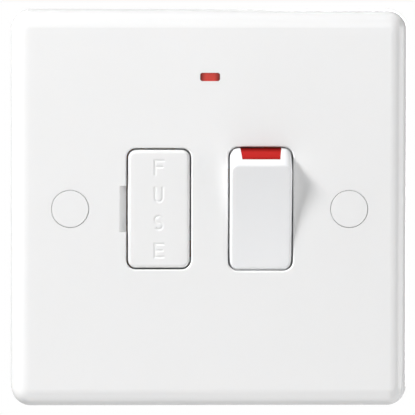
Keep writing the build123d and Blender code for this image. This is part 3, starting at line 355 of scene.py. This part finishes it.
class Tree:
    """A node tree with one way to add any node."""

    def __init__(self, tree):
        self.tree = tree

    def node(self, kind, options=None, inputs=None, output=0):
        """A new node of any kind: its options, then the values or links of its sockets."""
        made = self.tree.nodes.new(kind)
        for key, value in (options or {}).items():
            if key == "stops":
                fill_ramp(made.color_ramp, value)
            elif key == "interpolation":
                made.color_ramp.interpolation = value
            else:
                setattr(made, key, value)
        for key, value in (inputs or {}).items():
            self.join(made.inputs[key], value)
        return Value(self, made.outputs[output])

    def join(self, socket, value):
        """Link a value to a socket, or set the socket to a constant."""
        if isinstance(value, Value):
            self.tree.links.new(value.socket, socket)
        else:
            socket.default_value = value

    def math(self, operation, *values):
        """A Math node on values and numbers."""
        return self.node("ShaderNodeMath", {"operation": operation}, dict(enumerate(values)))

    def place(self, scale=(1.0, 1.0, 1.0)):
        """The point on the piece in metres, stretched by a scale."""
        point = self.node("ShaderNodeTexCoord", output="Object")
        return self.node("ShaderNodeMapping", None, {"Vector": point, "Scale": scale}, "Vector")

    def along(self, axis):
        """The distance along one axis of the unit in metres."""
        return self.node("ShaderNodeSeparateXYZ", None, {0: self.place()}, axis)

    def noise(self, scale, detail=2.0, stretch=(1.0, 1.0, 1.0)):
        """Soft noise from 0 to 1, with a scale in waves per metre."""
        inputs = {"Vector": self.place(stretch), "Scale": scale, "Detail": detail}
        return self.node("ShaderNodeTexNoise", None, inputs, "Fac")

    def mix(self, factor, first, second):
        """A colour between two colours."""
        return self.node("ShaderNodeMix", {"data_type": "RGBA"}, {0: factor, 6: first, 7: second}, 2)

    def spread(self, value, low, high):
        """A value spread from low..high to 0..1, eased at both ends."""
        inputs = {"Value": value, "From Min": low, "From Max": high}
        return self.node("ShaderNodeMapRange", {"interpolation_type": "SMOOTHSTEP"}, inputs, "Result")


def fill_ramp(ramp, stops):
    """Set a ramp's stops from (place, colour) pairs."""
    while len(ramp.elements) < len(stops):
        ramp.elements.new(1.0)
    for element, (place, tone) in zip(ramp.elements, stops):
        element.position = place
        element.color = (*tone, 1.0)


class Finish(Tree):
    """A material: its shader, the values that hold all over and what varies."""

    def __init__(self, name, **constants):
        self.material = bpy.data.materials.new(name)
        self.material.use_nodes = True
        super().__init__(self.material.node_tree)
        self.shader = self.tree.nodes["Principled BSDF"]
        for label, value in constants.items():
            self.feed(label.replace("_", " ").title().replace("Ior", "IOR"), value)

    def feed(self, label, value):
        """Link or set one of the shader's sockets."""
        self.join(self.shader.inputs[label], value)

    def tone(self, name, shade, factor):
        """Base colour from the settings that drifts towards a shade of itself."""
        base = getattr(settings().finish, name)
        dark = tuple(channel * shade for channel in base)
        self.feed("Base Color", self.mix(factor, (*base, 1.0), (*dark, 1.0)))

    def rough(self, least, drift, waves, detail=2.0):
        """Roughness that drifts upwards from its least value."""
        self.feed("Roughness", least + drift * self.noise(waves, detail))

    def bump(self, height, distance):
        """Fine relief of a given height in metres."""
        inputs = {"Distance": distance, "Height": height}
        self.feed("Normal", self.node("ShaderNodeBump", None, inputs, "Normal"))


def moulding(name):
    """Moulded plastic with a faint drift of tone, uneven gloss and a fine grain."""
    made = MOULDINGS[name]
    finish = Finish(name, ior=PLASTIC_IOR, subsurface_weight=made.sunk, subsurface_scale=SINK_DEPTH)
    finish.feed("Subsurface Radius", SINK_BY_CHANNEL)
    finish.tone(made.tone, DRIFT_SHADE, finish.noise(DRIFT_WAVES, detail=3.0))
    finish.rough(made.roughness, drift=0.06, waves=420.0, detail=3.0)
    finish.bump(finish.noise(made.grain, detail=3.0), made.relief)
    return finish.material


def metal(name):
    """Worked metal with tool lines along one direction and a patchy tarnish."""
    made = METALS[name]
    finish = Finish(name, metallic=1.0)
    lines = finish.noise(1.0, stretch=made.lines)
    patches = finish.noise(TARNISH_WAVES, detail=4.0)
    finish.tone(made.tone, made.tarnish, patches)
    finish.feed("Roughness", made.roughness + TARNISH_ROUGHNESS * patches + LINE_ROUGHNESS * lines)
    finish.bump(lines, made.relief)
    return finish.material


def lens_material():
    """Red lens with painted light, bright over the lamp, and painted shade, dark at its ends, with fine upright
    ribs.
    """
    low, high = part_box("neon_lens")
    half = (high.x - low.x) / 2
    tones = settings().finish
    finish = Finish("neon_lens_red", ior=1.49, specular_ior_level=0.2)
    across = finish.along("X")
    away = finish.math("ABSOLUTE", across) + LENS_UNEVEN * half * finish.noise(900.0)
    # Painted light and shade: the base colour goes from bright over the lamp to dark at the ends.
    ends = finish.spread(away, LENS_PAINTED_LIGHT * half, LENS_PAINTED_SHADE * half)
    finish.feed("Base Color", finish.mix(ends, (*tones.lens, 1.0), (*tones.lens_painted_shade, 1.0)))
    finish.rough(least=0.14, drift=0.08, waves=1400.0)
    finish.bump(finish.math("SINE", across * LENS_RIBS), 0.01 * MM)
    return finish.material


def flag_material():
    """Red flag with painted shade that darkens it towards its upper and lower edges."""
    low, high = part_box("rocker_flag")
    finish = Finish("flag_moulding", ior=PLASTIC_IOR, specular_ior_level=0.12)
    # Painted shade: the base colour darkens towards the flag's top and foot.
    share = (finish.along("Z") - low.z) / (high.z - low.z)
    top, foot = finish.spread(share, *FLAG_TOP_PAINTED_SHADE), finish.spread(share, *FLAG_FOOT_PAINTED_SHADE)
    finish.tone("flag", FLAG_PAINTED_SHADE, top + FOOT_SHARE * foot)
    finish.rough(least=0.4, drift=0.06, waves=420.0, detail=3.0)
    finish.bump(finish.noise(900.0, detail=3.0), 0.004 * MM)
    return finish.material


def ceramic_material():
    """Fine-grained ceramic of the fuse tube."""
    finish = Finish("fuse_ceramic_body", ior=1.52)
    finish.tone("ceramic", 0.93, finish.noise(2600.0, detail=4.0))
    finish.rough(least=0.42, drift=0.12, waves=900.0)
    finish.bump(finish.noise(3200.0, detail=3.0), 0.008 * MM)
    return finish.material


def glass_material():
    """Clear glass of the lamp."""
    clear = (0.97, 0.96, 0.94, 1.0)
    finish = Finish("lamp_glass_clear", transmission_weight=1.0, ior=1.47, base_color=clear)
    finish.rough(least=0.02, drift=0.04, waves=600.0)
    return finish.material


def banded_material():
    """Lacquered resistor with four colour bands."""
    low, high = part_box("neon_resistor")
    body = settings().finish.resistor
    finish = Finish("resistor_banded", ior=PLASTIC_IOR)
    share = (finish.along("X") - low.x) / (high.x - low.x)
    stops = [(0.0, body)]
    for start, band in BANDS:
        stops += [(start, band), (start + BAND_WIDTH, body)]
    options = {"interpolation": "CONSTANT", "stops": stops}
    finish.feed("Base Color", finish.node("ShaderNodeValToRGB", options, {"Fac": share}, "Color"))
    finish.rough(least=0.28, drift=0.1, waves=900.0)
    finish.bump(finish.noise(1500.0), 0.01 * MM)
    return finish.material


def dress(names, material):
    """Give CAD nodes a finish."""
    for name in names:
        for slot in NODES[name].material_slots:
            slot.material = material


def add_piece(name, shape, material, body, replaced=(), sharp=SHARP):
    """A new piece in its final place: finish, body to ride on and the nodes that it stands for."""
    mesh = mesh_from(shape, name, sharp)
    mesh.materials.append(material)
    piece = bpy.data.objects.new(name, mesh)
    bpy.context.scene.collection.objects.link(piece)
    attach(piece, body)
    if replaced:
        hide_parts(*replaced)
    return piece


def lies_flat(face):
    """Whether a face lies square to an axis."""
    return max(abs(part) for part in face.normal) > SQUARE


def mesh_from(shape, name, sharp=SHARP):
    """A mesh from a bmesh, smooth except over sharp edges and round flat faces."""
    bmesh.ops.recalc_face_normals(shape, faces=shape.faces)
    for face in shape.faces:
        face.smooth = True
    for edge in shape.edges:
        flats = sum(lies_flat(face) for face in edge.link_faces)
        edge.smooth = flats != 1 and edge.calc_face_angle(0.0) < math.radians(sharp)
    mesh = bpy.data.meshes.new(name)
    shape.to_mesh(mesh)
    shape.free()
    return mesh


def welded(name):
    """A copy of a CAD node's shape with its split corners joined."""
    shape = bmesh.new()
    shape.from_mesh(NODES[name].data)
    bmesh.ops.remove_doubles(shape, verts=shape.verts, dist=SAME_CORNER)
    return shape


def skin(shape, rings):
    """Join rings of points into a closed skin with flat ends."""
    loops = [[shape.verts.new(point) for point in ring] for ring in rings]
    count = len(loops[0])
    for here, there in zip(loops, loops[1:]):
        for i in range(count):
            j = (i + 1) % count
            shape.faces.new((here[i], here[j], there[j], there[i]))
    shape.faces.new(reversed(loops[0]))
    shape.faces.new(loops[-1])


def square_to(direction):
    """Two unit vectors square to a direction and to each other."""
    direction = direction.normalized()
    helper = Vector((0, 0, 1)) if abs(direction.z) < UPRIGHT else ACROSS
    across = direction.cross(helper).normalized()
    return across, direction.cross(across)


def ring(centre, across, up, radius, count):
    """Points of a circle."""
    turns = [math.tau * i / count for i in range(count)]
    return [centre + radius * (math.cos(t) * across + math.sin(t) * up) for t in turns]


def tube(shape, path, radius, count):
    """A round wire along a path, carried without twist."""
    steps = [b - a for a, b in zip(path, path[1:])]
    between = [a.normalized() + b.normalized() for a, b in zip(steps, steps[1:])]
    tangents = [steps[0], *between, steps[-1]]
    across, up = square_to(tangents[0])
    rings = []
    for point, tangent in zip(path, tangents):
        tangent = tangent.normalized()
        across = (across - across.dot(tangent) * tangent).normalized()
        up = tangent.cross(across)
        rings.append(ring(point, across, up, radius, count))
    skin(shape, rings)


def turned(shape, start, direction, profile, count):
    """A turned form from (distance along, radius) pairs."""
    across, up = square_to(direction)
    rings = [ring(start + along * direction, across, up, radius, count) for along, radius in profile]
    skin(shape, rings)


def bent(corners, radius):
    """A path through corners, each rounded by an arc."""
    path = [corners[0]]
    for before, corner, after in zip(corners, corners[1:], corners[2:]):
        into, out = (before - corner).normalized(), (after - corner).normalized()
        half = into.angle(out) / 2
        centre = corner + (into + out).normalized() * radius / math.sin(half)
        start = corner + into * radius / math.tan(half) - centre
        end = corner + out * radius / math.tan(half) - centre
        sweep = start.angle(end)
        axis = start.cross(end).normalized()
        turns = [Matrix.Rotation(sweep * i / BEND_STEPS, 3, axis) for i in range(BEND_STEPS + 1)]
        path += [centre + turn @ start for turn in turns]
    return path + [corners[-1]]


def threaded_rod(shape, start, direction, span, crest, pitch):
    """A closed rod with a helical thread, whose crests have the given radius."""
    depth = settings().wire.thread_depth
    across, up = square_to(direction)
    rings = []
    steps = round(span / pitch * RINGS_PER_PITCH)
    for step in range(steps + 1):
        along = span * step / steps
        tip = crest - max(0.0, along - (span - 2 * depth))
        points = []
        for i in range(THREAD_SIDES):
            turn = i / THREAD_SIDES
            rise = (along / pitch - turn) % 1.0
            flank = min(1.0, max(0.0, (1 - abs(2 * rise - 1) - THREAD_ROOT) / THREAD_FLANK))
            radius = min(tip, crest - depth + depth * flank)
            spoke = math.cos(math.tau * turn) * across + math.sin(math.tau * turn) * up
            points.append(start + along * direction + radius * spoke)
        rings.append(points)
    skin(shape, rings)


def cut_off(shape, point, normal):
    """Keep what lies behind a plane and close the cut."""
    parts = list(shape.verts) + list(shape.edges) + list(shape.faces)
    bmesh.ops.bisect_plane(shape, geom=parts, plane_co=point, plane_no=normal, clear_outer=True)
    bmesh.ops.holes_fill(shape, edges=[edge for edge in shape.edges if edge.is_boundary], sides=0)


def stroke_sides(points, half):
    """Left and right edges of a stroke along a centre line, mitred at its corners."""
    left, right = [], []
    for i, point in enumerate(points):
        into = (point - points[i - 1]).normalized() if i else (points[1] - point).normalized()
        out = (points[i + 1] - point).normalized() if i + 1 < len(points) else into
        normal = Vector((-into.y, into.x)) + Vector((-out.y, out.x))
        normal = normal * (2 / normal.length_squared)
        left.append(point + half * normal)
        right.append(point - half * normal)
    return left + right[::-1]


def arc(centre, radii, start, end):
    """Points of an elliptical arc, by its angles in degrees."""
    turns = [math.radians(start + (end - start) * i / ARC_STEPS) for i in range(ARC_STEPS + 1)]
    return [(centre[0] + radii[0] * math.cos(t), centre[1] + radii[1] * math.sin(t)) for t in turns]


def letter_lines(letter):
    """Centre lines of a plain capital letter, about its own centre."""
    marking = settings().marking
    half_height = marking.height / 2
    side = (marking.width - marking.stroke) / 2
    end = marking.width / 2
    bar = half_height - marking.stroke / 2
    if letter == "F":
        middle = F_BAR_UP * bar
        lines = [
            [(-side, -half_height), (-side, bar), (end, bar)],
            [(-side, middle), (F_BAR_REACH * end, middle)],
        ]
    elif letter == "E":
        lines = [[(end, -bar), (-side, -bar), (-side, bar), (end, bar)], [(-side, 0), (E_BAR_REACH * end, 0)]]
    elif letter == "U":
        bowl = arc((0, side - bar), (side, side), 180, 360)
        lines = [[(-side, half_height), *bowl, (side, half_height)]]
    else:
        upper = arc((0, bar / 2), (side, bar / 2), 25, 270)
        lower = arc((0, -bar / 2), (side, bar / 2), 90, -155)
        lines = [[*upper, *lower[1:]]]
    return [[Vector(point) for point in line] for line in lines]


def letter_strokes(word, centre):
    """Wedge-shaped strokes of a word written downwards, standing a little out of the face at its centre."""
    marking = settings().marking
    shape = bmesh.new()
    slope = (1 - marking.floor_share) / 2 * marking.stroke / marking.depth
    proud = marking.depth / 4
    levels = [
        (centre.y - proud, marking.stroke / 2 + proud * slope),
        (centre.y + marking.depth, marking.stroke / 2 * marking.floor_share),
    ]
    for index, letter in enumerate(word):
        up = centre.z + marking.pitch * ((len(word) - 1) / 2 - index)
        for line in letter_lines(letter):
            rings = []
            for level, half in levels:
                outline = stroke_sides(line, half)
                rings.append([Vector((centre.x + p.x, level, up + p.y)) for p in outline])
            skin(shape, rings)
    return shape


def engraved(blank, strokes):
    """A shape with strokes cut out of it."""
    scene = bpy.context.scene
    pieces = []
    for name, shape in (("carrier_blank", blank), ("letter_strokes", strokes)):
        pieces.append(bpy.data.objects.new(name, mesh_from(shape, name)))
        scene.collection.objects.link(pieces[-1])
    cut = pieces[0].modifiers.new("engrave", "BOOLEAN")
    cut.object = pieces[1]
    cut.operation = "DIFFERENCE"
    cut.solver = "EXACT"
    cut.use_self = True
    bpy.context.view_layer.update()
    mesh = bpy.data.meshes.new_from_object(pieces[0].evaluated_get(bpy.context.evaluated_depsgraph_get()))
    for piece in pieces:
        bpy.data.objects.remove(piece)
    shape = bmesh.new()
    shape.from_mesh(mesh)
    return shape


def fixing_threads():
    """The fixing screws with threaded shanks."""
    dims = MOUNTS["wall_screws"]["dims"]
    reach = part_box("fixing_screws")[1].y
    shape = welded("fixing_screws")
    cut_off(shape, (0, -ON_FACE, 0), INWARD)
    for side in (-1, 1):
        start = Vector((side * dims["spacing_x_mm"] / 2 * MM, 0, 0))
        threaded_rod(shape, start, INWARD, reach, dims["stud_r_mm"] * MM, settings().wire.fixing_pitch)
    return shape


def clamp_threads():
    """The terminal screws with threaded shanks."""
    wire = settings().wire
    low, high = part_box("terminal_screws")
    seat = high.y - wire.head_height
    shape = welded("terminal_screws")
    shanks = [v.co.copy() for v in shape.verts if v.co.y < low.y + ON_FACE]
    cut_off(shape, (0, seat + ON_FACE, 0), -INWARD)
    for name in TERMINALS:
        place = Vector(MOUNTS[name]["pos_m"])
        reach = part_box(name)[1].x - place.x
        heights = [p.z for p in shanks if abs(p.x - place.x) < reach and p.z * place.z > 0]
        middle = Vector((place.x, seat, (min(heights) + max(heights)) / 2))
        crest = (max(heights) - min(heights)) / 2
        threaded_rod(shape, middle, -INWARD, seat - low.y, crest, wire.clamp_pitch)
    return shape


def coil_path(middle, inward, reach, radius):
    """Points of a spring about its middle, with coils that close towards both ends."""
    turns = settings().wire.spring_turns
    across, up = square_to(inward)
    steps = round(turns * STEPS_PER_TURN)
    path = []
    for step in range(steps + 1):
        share = step / steps
        turn = math.tau * turns * share
        eased = -math.cos(math.pi * share) * COIL_CLOSING + (2 * share - 1) * (1 - COIL_CLOSING)
        spoke = math.cos(turn) * across + math.sin(turn) * up
        path.append(middle + reach * eased * inward + radius * spoke)
    return path


def lamp_axis(x):
    """The point of the lamp's axis at a place across the unit."""
    low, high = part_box("neon_lamp")
    return Vector((x, (low.y + high.y) / 2, (low.z + high.z) / 2))


def lamp_glass():
    """Lamp glass with domed ends."""
    low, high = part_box("neon_lamp")
    span, radius = high.x - low.x, (high.z - low.z) / 2
    wire = settings().wire
    dome, neck = DOME * radius, NECK * wire.lead_radius
    profile = []
    for step in range(GLASS_STEPS + 1):
        place = span * step / GLASS_STEPS
        over = max(0.0, (abs(place - span / 2) - (span / 2 - dome)) / dome)
        profile.append((place, max(neck, radius * math.sqrt(max(0.0, 1 - over**2)))))
    shape = bmesh.new()
    turned(shape, lamp_axis(low.x), ACROSS, profile, 2 * wire.sides)
    return shape


def lamp_electrodes():
    """Two round rods in the lamp, one above the other and set further along."""
    low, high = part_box("neon_lamp")
    span, radius = high.x - low.x, (high.z - low.z) / 2
    thick, reach = ROD_THICK * radius, ROD_REACH * span
    rod = [(0, 0.5 * thick), (0.3 * thick, thick), (reach, thick), (reach + 0.4 * thick, 0.5 * thick)]
    shape = bmesh.new()
    for side, share in ROD_STARTS.items():
        start = lamp_axis(low.x) + Vector((0, 0, side * ROD_APART * radius)) + ACROSS * (share * span)
        turned(shape, start, ACROSS, rod, settings().wire.sides)
    return shape


def resistor_body():
    """Resistor with a narrow waist and rounded ends."""
    low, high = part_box("neon_resistor")
    span, radius = high.x - low.x, (high.z - low.z) / 2
    wire = settings().wire
    profile = []
    for step in range(RESISTOR_STEPS + 1):
        share = abs(2 * step / RESISTOR_STEPS - 1)
        flare = min(1.0, max(0.0, (share - FLARE_START) / FLARE_SPAN)) ** 2
        end = math.sqrt(max(0.0, 1 - max(0.0, (share - ROUND_START) / ROUND_SPAN) ** 2))
        wide = radius * (WAIST + (1 - WAIST) * flare) * end
        profile.append((span * step / RESISTOR_STEPS, max(wire.lead_radius, wide)))
    shape = bmesh.new()
    turned(shape, lamp_axis(low.x), ACROSS, profile, 2 * wire.sides)
    return shape


def sleeved_leads():
    """Leads from the lamp and the resistor to the load terminals, and the link between the two."""
    wire = settings().wire
    lamp_low, lamp_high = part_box("neon_lamp")
    low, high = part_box("neon_resistor")
    shape = bmesh.new()
    for start_x, terminal in ((lamp_low.x, "load_live_terminal"), (high.x, "load_neutral_terminal")):
        front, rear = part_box(terminal)
        middle = (front + rear) / 2
        turn_down = lamp_axis(middle.x)
        corners = [
            lamp_axis(start_x),
            turn_down,
            Vector((middle.x, turn_down.y, middle.z)),
            Vector((middle.x, front.y, middle.z)),
        ]
        tube(shape, bent(corners, wire.lead_bend), wire.lead_radius, wire.sides)
    link = [(0, wire.lead_radius), (low.x - lamp_high.x, wire.lead_radius)]
    turned(shape, lamp_axis(lamp_high.x), ACROSS, link, wire.sides)
    return shape


class SPUR_OT_mouldings(Operator):
    """Finish the white plate, rocker and caps, the red flag, the plungers and the rear housing"""

    bl_idname = "spur.mouldings"
    bl_label = "Mouldings"

    def execute(self, context):
        dress(["faceplate", "screw_cap_left", "screw_cap_right"], moulding("white_moulding"))
        dress(["rocker"], moulding("rocker_moulding"))
        dress(["rear_housing"], moulding("housing_moulding"))
        dress(["rocker_flag"], flag_material())
        dress(["live_plunger", "neutral_plunger"], moulding("plunger_nylon"))
        return {"FINISHED"}


class SPUR_OT_carrier(Operator):
    """Engrave the fuse carrier with its word, letters one below the other"""

    bl_idname = "spur.carrier"
    bl_label = "Fuse carrier"

    def execute(self, context):
        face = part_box("fuse_carrier")[0].y
        panel = [v.co for v in NODES["fuse_carrier"].data.vertices if v.co.y < face + ON_FACE]
        centre = Vector((
            (min(p.x for p in panel) + max(p.x for p in panel)) / 2,
            face,
            (min(p.z for p in panel) + max(p.z for p in panel)) / 2,
        ))
        add_piece(
            "fuse_carrier_engraved",
            engraved(welded("fuse_carrier"), letter_strokes("FUSE", centre)),
            bpy.data.materials["white_moulding"],
            "fuse_carrier",
            ["fuse_carrier"],
            SHARP_ENGRAVED,
        )
        return {"FINISHED"}


class SPUR_OT_fuse(Operator):
    """Finish the cartridge fuse and its clips"""

    bl_idname = "spur.fuse"
    bl_label = "Fuse"

    def execute(self, context):
        dress(["fuse_tube"], ceramic_material())
        dress(["fuse_end_caps"], metal("fuse_cap_nickel"))
        dress(CLIPS, metal("clip_bronze_strip"))
        return {"FINISHED"}


class SPUR_OT_metalwork(Operator):
    """Finish the terminals, copper strips, rocking contacts and contact tips"""

    bl_idname = "spur.metalwork"
    bl_label = "Metalwork"

    def execute(self, context):
        dress(TERMINALS, metal("terminal_brass"))
        dress(STRIPS, metal("strip_copper"))
        dress(TIPS, metal("tip_silver"))
        return {"FINISHED"}


class SPUR_OT_screws(Operator):
    """Give the fixing and terminal screws their threads, and finish all the screws"""

    bl_idname = "spur.screws"
    bl_label = "Screws"

    def execute(self, context):
        steel, brass = metal("screw_zinc_plate"), metal("screw_brass_plate")
        dress(["housing_screws"], steel)
        fixing, clamp = fixing_threads(), clamp_threads()
        add_piece("fixing_screws_threaded", fixing, steel, "unit", ["fixing_screws"])
        add_piece("terminal_screws_threaded", clamp, brass, "unit", ["terminal_screws"])
        return {"FINISHED"}


class SPUR_OT_springs(Operator):
    """Wind the two plunger springs with closed end coils"""

    bl_idname = "spur.springs"
    bl_label = "Springs"

    def execute(self, context):
        thick = settings().wire.spring_wire
        steel = metal("spring_wire_steel")
        for pole in POLES:
            node, name = f"{pole}_spring", f"{pole}_spring_coil"
            slide = JOINTS[f"{pole}_plunger_slide"]
            inward = Vector(slide["axis"]).normalized()
            low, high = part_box(node)
            middle = (low + high) / 2
            offsets = [v.co - middle for v in NODES[node].data.vertices]
            reach = max(abs(offset.dot(inward)) for offset in offsets) - thick
            radius = max(offset.cross(inward).length for offset in offsets) - thick
            shape = bmesh.new()
            tube(shape, coil_path(middle, inward, reach, radius), thick, COIL_SIDES)
            coil = add_piece(name, shape, steel, "rocker", [node], SHARP_COIL)
            low_limit, high_limit = slide["range_m"]
            whole = 2 * (reach + thick)
            middle - whole / 2 * inward
            1 - max(abs(low_limit), abs(high_limit)) / whole
            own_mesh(coil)
        return {"FINISHED"}


class SPUR_OT_neon(Operator):
    """Finish the neon lens and make the lamp, its electrodes, the resistor and the leads"""

    bl_idname = "spur.neon"
    bl_label = "Neon indicator"

    def execute(self, context):
        dress(["neon_lens"], lens_material())
        glass, nickel = glass_material(), metal("electrode_nickel")
        lacquer, sleeve = banded_material(), moulding("lead_sleeve")
        body = resistor_body()
        add_piece("neon_glass", lamp_glass(), glass, "unit", ["neon_lamp"])
        add_piece("neon_electrodes", lamp_electrodes(), nickel, "unit")
        add_piece("neon_resistor_body", body, lacquer, "unit", ["neon_resistor"])
        add_piece("neon_leads_sleeved", sleeved_leads(), sleeve, "unit", ["neon_leads"])
        return {"FINISHED"}


def aim(thing, target, roll=0.0):
    """Turn a camera or lamp to face a point."""
    look = (Vector(target) - thing.location).to_track_quat("-Z", "Y")
    thing.rotation_euler = (look.to_matrix() @ Matrix.Rotation(roll, 3, "Z")).to_euler()


def around(target, azimuth, elevation, distance):
    """A point at a distance from a target; azimuth 0 is in front and grows to the right."""
    level = math.cos(elevation)
    away = Vector((math.sin(azimuth) * level, -math.cos(azimuth) * level, math.sin(elevation)))
    return target + distance * away


def add_camera(target):
    """The scene's camera, aimed close to the middle of the front face."""
    scene, stage = bpy.context.scene, settings().stage
    camera = bpy.data.objects.new("camera", bpy.data.cameras.new("camera"))
    aim_point = target + Vector((stage.aim_across, 0, stage.aim_up))
    camera.location = around(aim_point, stage.azimuth, stage.elevation, stage.distance)
    aim(camera, aim_point, stage.roll)
    camera.data.angle = 2 * math.atan(stage.view_width / 2 / stage.distance)
    camera.data.clip_start = CAMERA_NEAR
    scene.collection.objects.link(camera)
    scene.camera = camera


def add_light(name, target, place, energy):
    """A square soft light that faces the unit."""
    data = bpy.data.lights.new(name, "AREA")
    data.shape = "SQUARE"
    data.size = place.side
    data.energy = energy
    lamp = bpy.data.objects.new(name, data)
    azimuth, elevation = math.radians(place.azimuth), math.radians(place.elevation)
    lamp.location = around(target, azimuth, elevation, place.distance)
    aim(lamp, target)
    bpy.context.scene.collection.objects.link(lamp)


def seen_directly(tree):
    """1 for what the camera and glass show, a level for what polish mirrors, 0 for light on the unit."""
    camera = tree.node("ShaderNodeLightPath", output="Is Camera Ray")
    glossy = tree.node("ShaderNodeLightPath", output="Is Glossy Ray")
    through = tree.node("ShaderNodeLightPath", output="Is Transmission Ray")
    shown = tree.math("MAXIMUM", settings().stage.mirrored * glossy, through)
    return tree.math("MAXIMUM", camera, shown)


def add_surroundings():
    """A white world to look at, which lights the unit only faintly."""
    level = settings().stage.world
    world = bpy.data.worlds.new("surroundings")
    world.use_nodes = True
    bpy.context.scene.world = world
    tree = Tree(world.node_tree)
    background = world.node_tree.nodes["Background"]
    tree.join(background.inputs["Color"], WHITE)
    tree.join(background.inputs["Strength"], level + (1 - level) * seen_directly(tree))


def floor_material():
    """Pale floor that fades into the white surroundings."""
    radius = settings().stage.floor_radius
    finish = Finish("floor_pale", roughness=0.8)
    direct = seen_directly(finish)
    finish.feed("Base Color", finish.mix(direct, FLOOR_GREY, FLOOR_PALE))
    glow = finish.node("ShaderNodeEmission", None, {"Color": WHITE, "Strength": 1.0})
    away = finish.node("ShaderNodeVectorMath", {"operation": "LENGTH"}, {0: finish.place()}, "Value")
    fade = finish.spread(away, FADE_START * radius, FADE_END * radius)
    factor = direct * (GLOW_NEAR + (1 - GLOW_NEAR) * fade)
    matt = Value(finish, finish.shader.outputs[0])
    mixed = finish.node("ShaderNodeMixShader", None, {0: factor, 1: matt, 2: glow})
    finish.join(finish.tree.nodes["Material Output"].inputs["Surface"], mixed)
    return finish.material


def add_floor():
    """A round floor well below the unit."""
    stage = settings().stage
    shape = bmesh.new()
    centre = Vector((0, 0, CAD_LOW.z - stage.floor_drop))
    rim = ring(centre, ACROSS, INWARD, stage.floor_radius, FLOOR_SIDES)
    shape.faces.new([shape.verts.new(point) for point in rim])
    mesh = bpy.data.meshes.new("floor")
    shape.to_mesh(mesh)
    shape.free()
    mesh.materials.append(floor_material())
    floor = bpy.data.objects.new("floor", mesh)
    bpy.context.scene.collection.objects.link(floor)


class SPUR_OT_stage(Operator):
    """Set up the camera, the lights, the white surroundings and the pale floor"""

    bl_idname = "spur.stage"
    bl_label = "Stage"

    def execute(self, context):
        context.scene.view_settings.view_transform = "Standard"
        target = Vector((0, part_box("faceplate")[0].y, 0))
        add_camera(target)
        for name, place in LIGHTS.items():
            add_light(f"{name}_light", target, place, getattr(settings().stage, name))
        add_surroundings()
        add_floor()
        return {"FINISHED"}


class SPUR_PT_panel(Panel):
    """Steps that finish the unit"""

    bl_idname = "SPUR_PT_panel"
    bl_label = "Fused spur unit"
    bl_space_type = "VIEW_3D"
    bl_region_type = "UI"
    bl_category = "Spur unit"

    def draw(self, context):
        for step in STEPS:
            self.layout.operator(step.bl_idname)
        for group in ("finish", "marking", "wire", "stage"):
            values = getattr(settings(), group)
            box = self.layout.box()
            for name in values.__annotations__:
                box.prop(values, name)


STEPS = (
    SPUR_OT_mouldings,
    SPUR_OT_carrier,
    SPUR_OT_fuse,
    SPUR_OT_metalwork,
    SPUR_OT_screws,
    SPUR_OT_springs,
    SPUR_OT_neon,
    SPUR_OT_stage,
)
GROUPS = (FinishSettings, MarkingSettings, WireSettings, StageSettings, SpurSettings)


def register():
    """Register the settings, the steps and the panel."""
    for kind in (*GROUPS, *STEPS, SPUR_PT_panel):
        bpy.utils.register_class(kind)
    bpy.types.Scene.spur = PointerProperty(type=SpurSettings)


def unregister():
    """Take back what register added."""
    del bpy.types.Scene.spur
    for kind in reversed((*GROUPS, *STEPS, SPUR_PT_panel)):
        bpy.utils.unregister_class(kind)


def main():
    """Finish the unit step by step."""
    register()
    bpy.ops.spur.mouldings()
    bpy.ops.spur.carrier()
    bpy.ops.spur.fuse()
    bpy.ops.spur.metalwork()
    bpy.ops.spur.screws()
    bpy.ops.spur.springs()
    bpy.ops.spur.neon()
    bpy.ops.spur.stage()


if __name__ == "__main__":
    main()
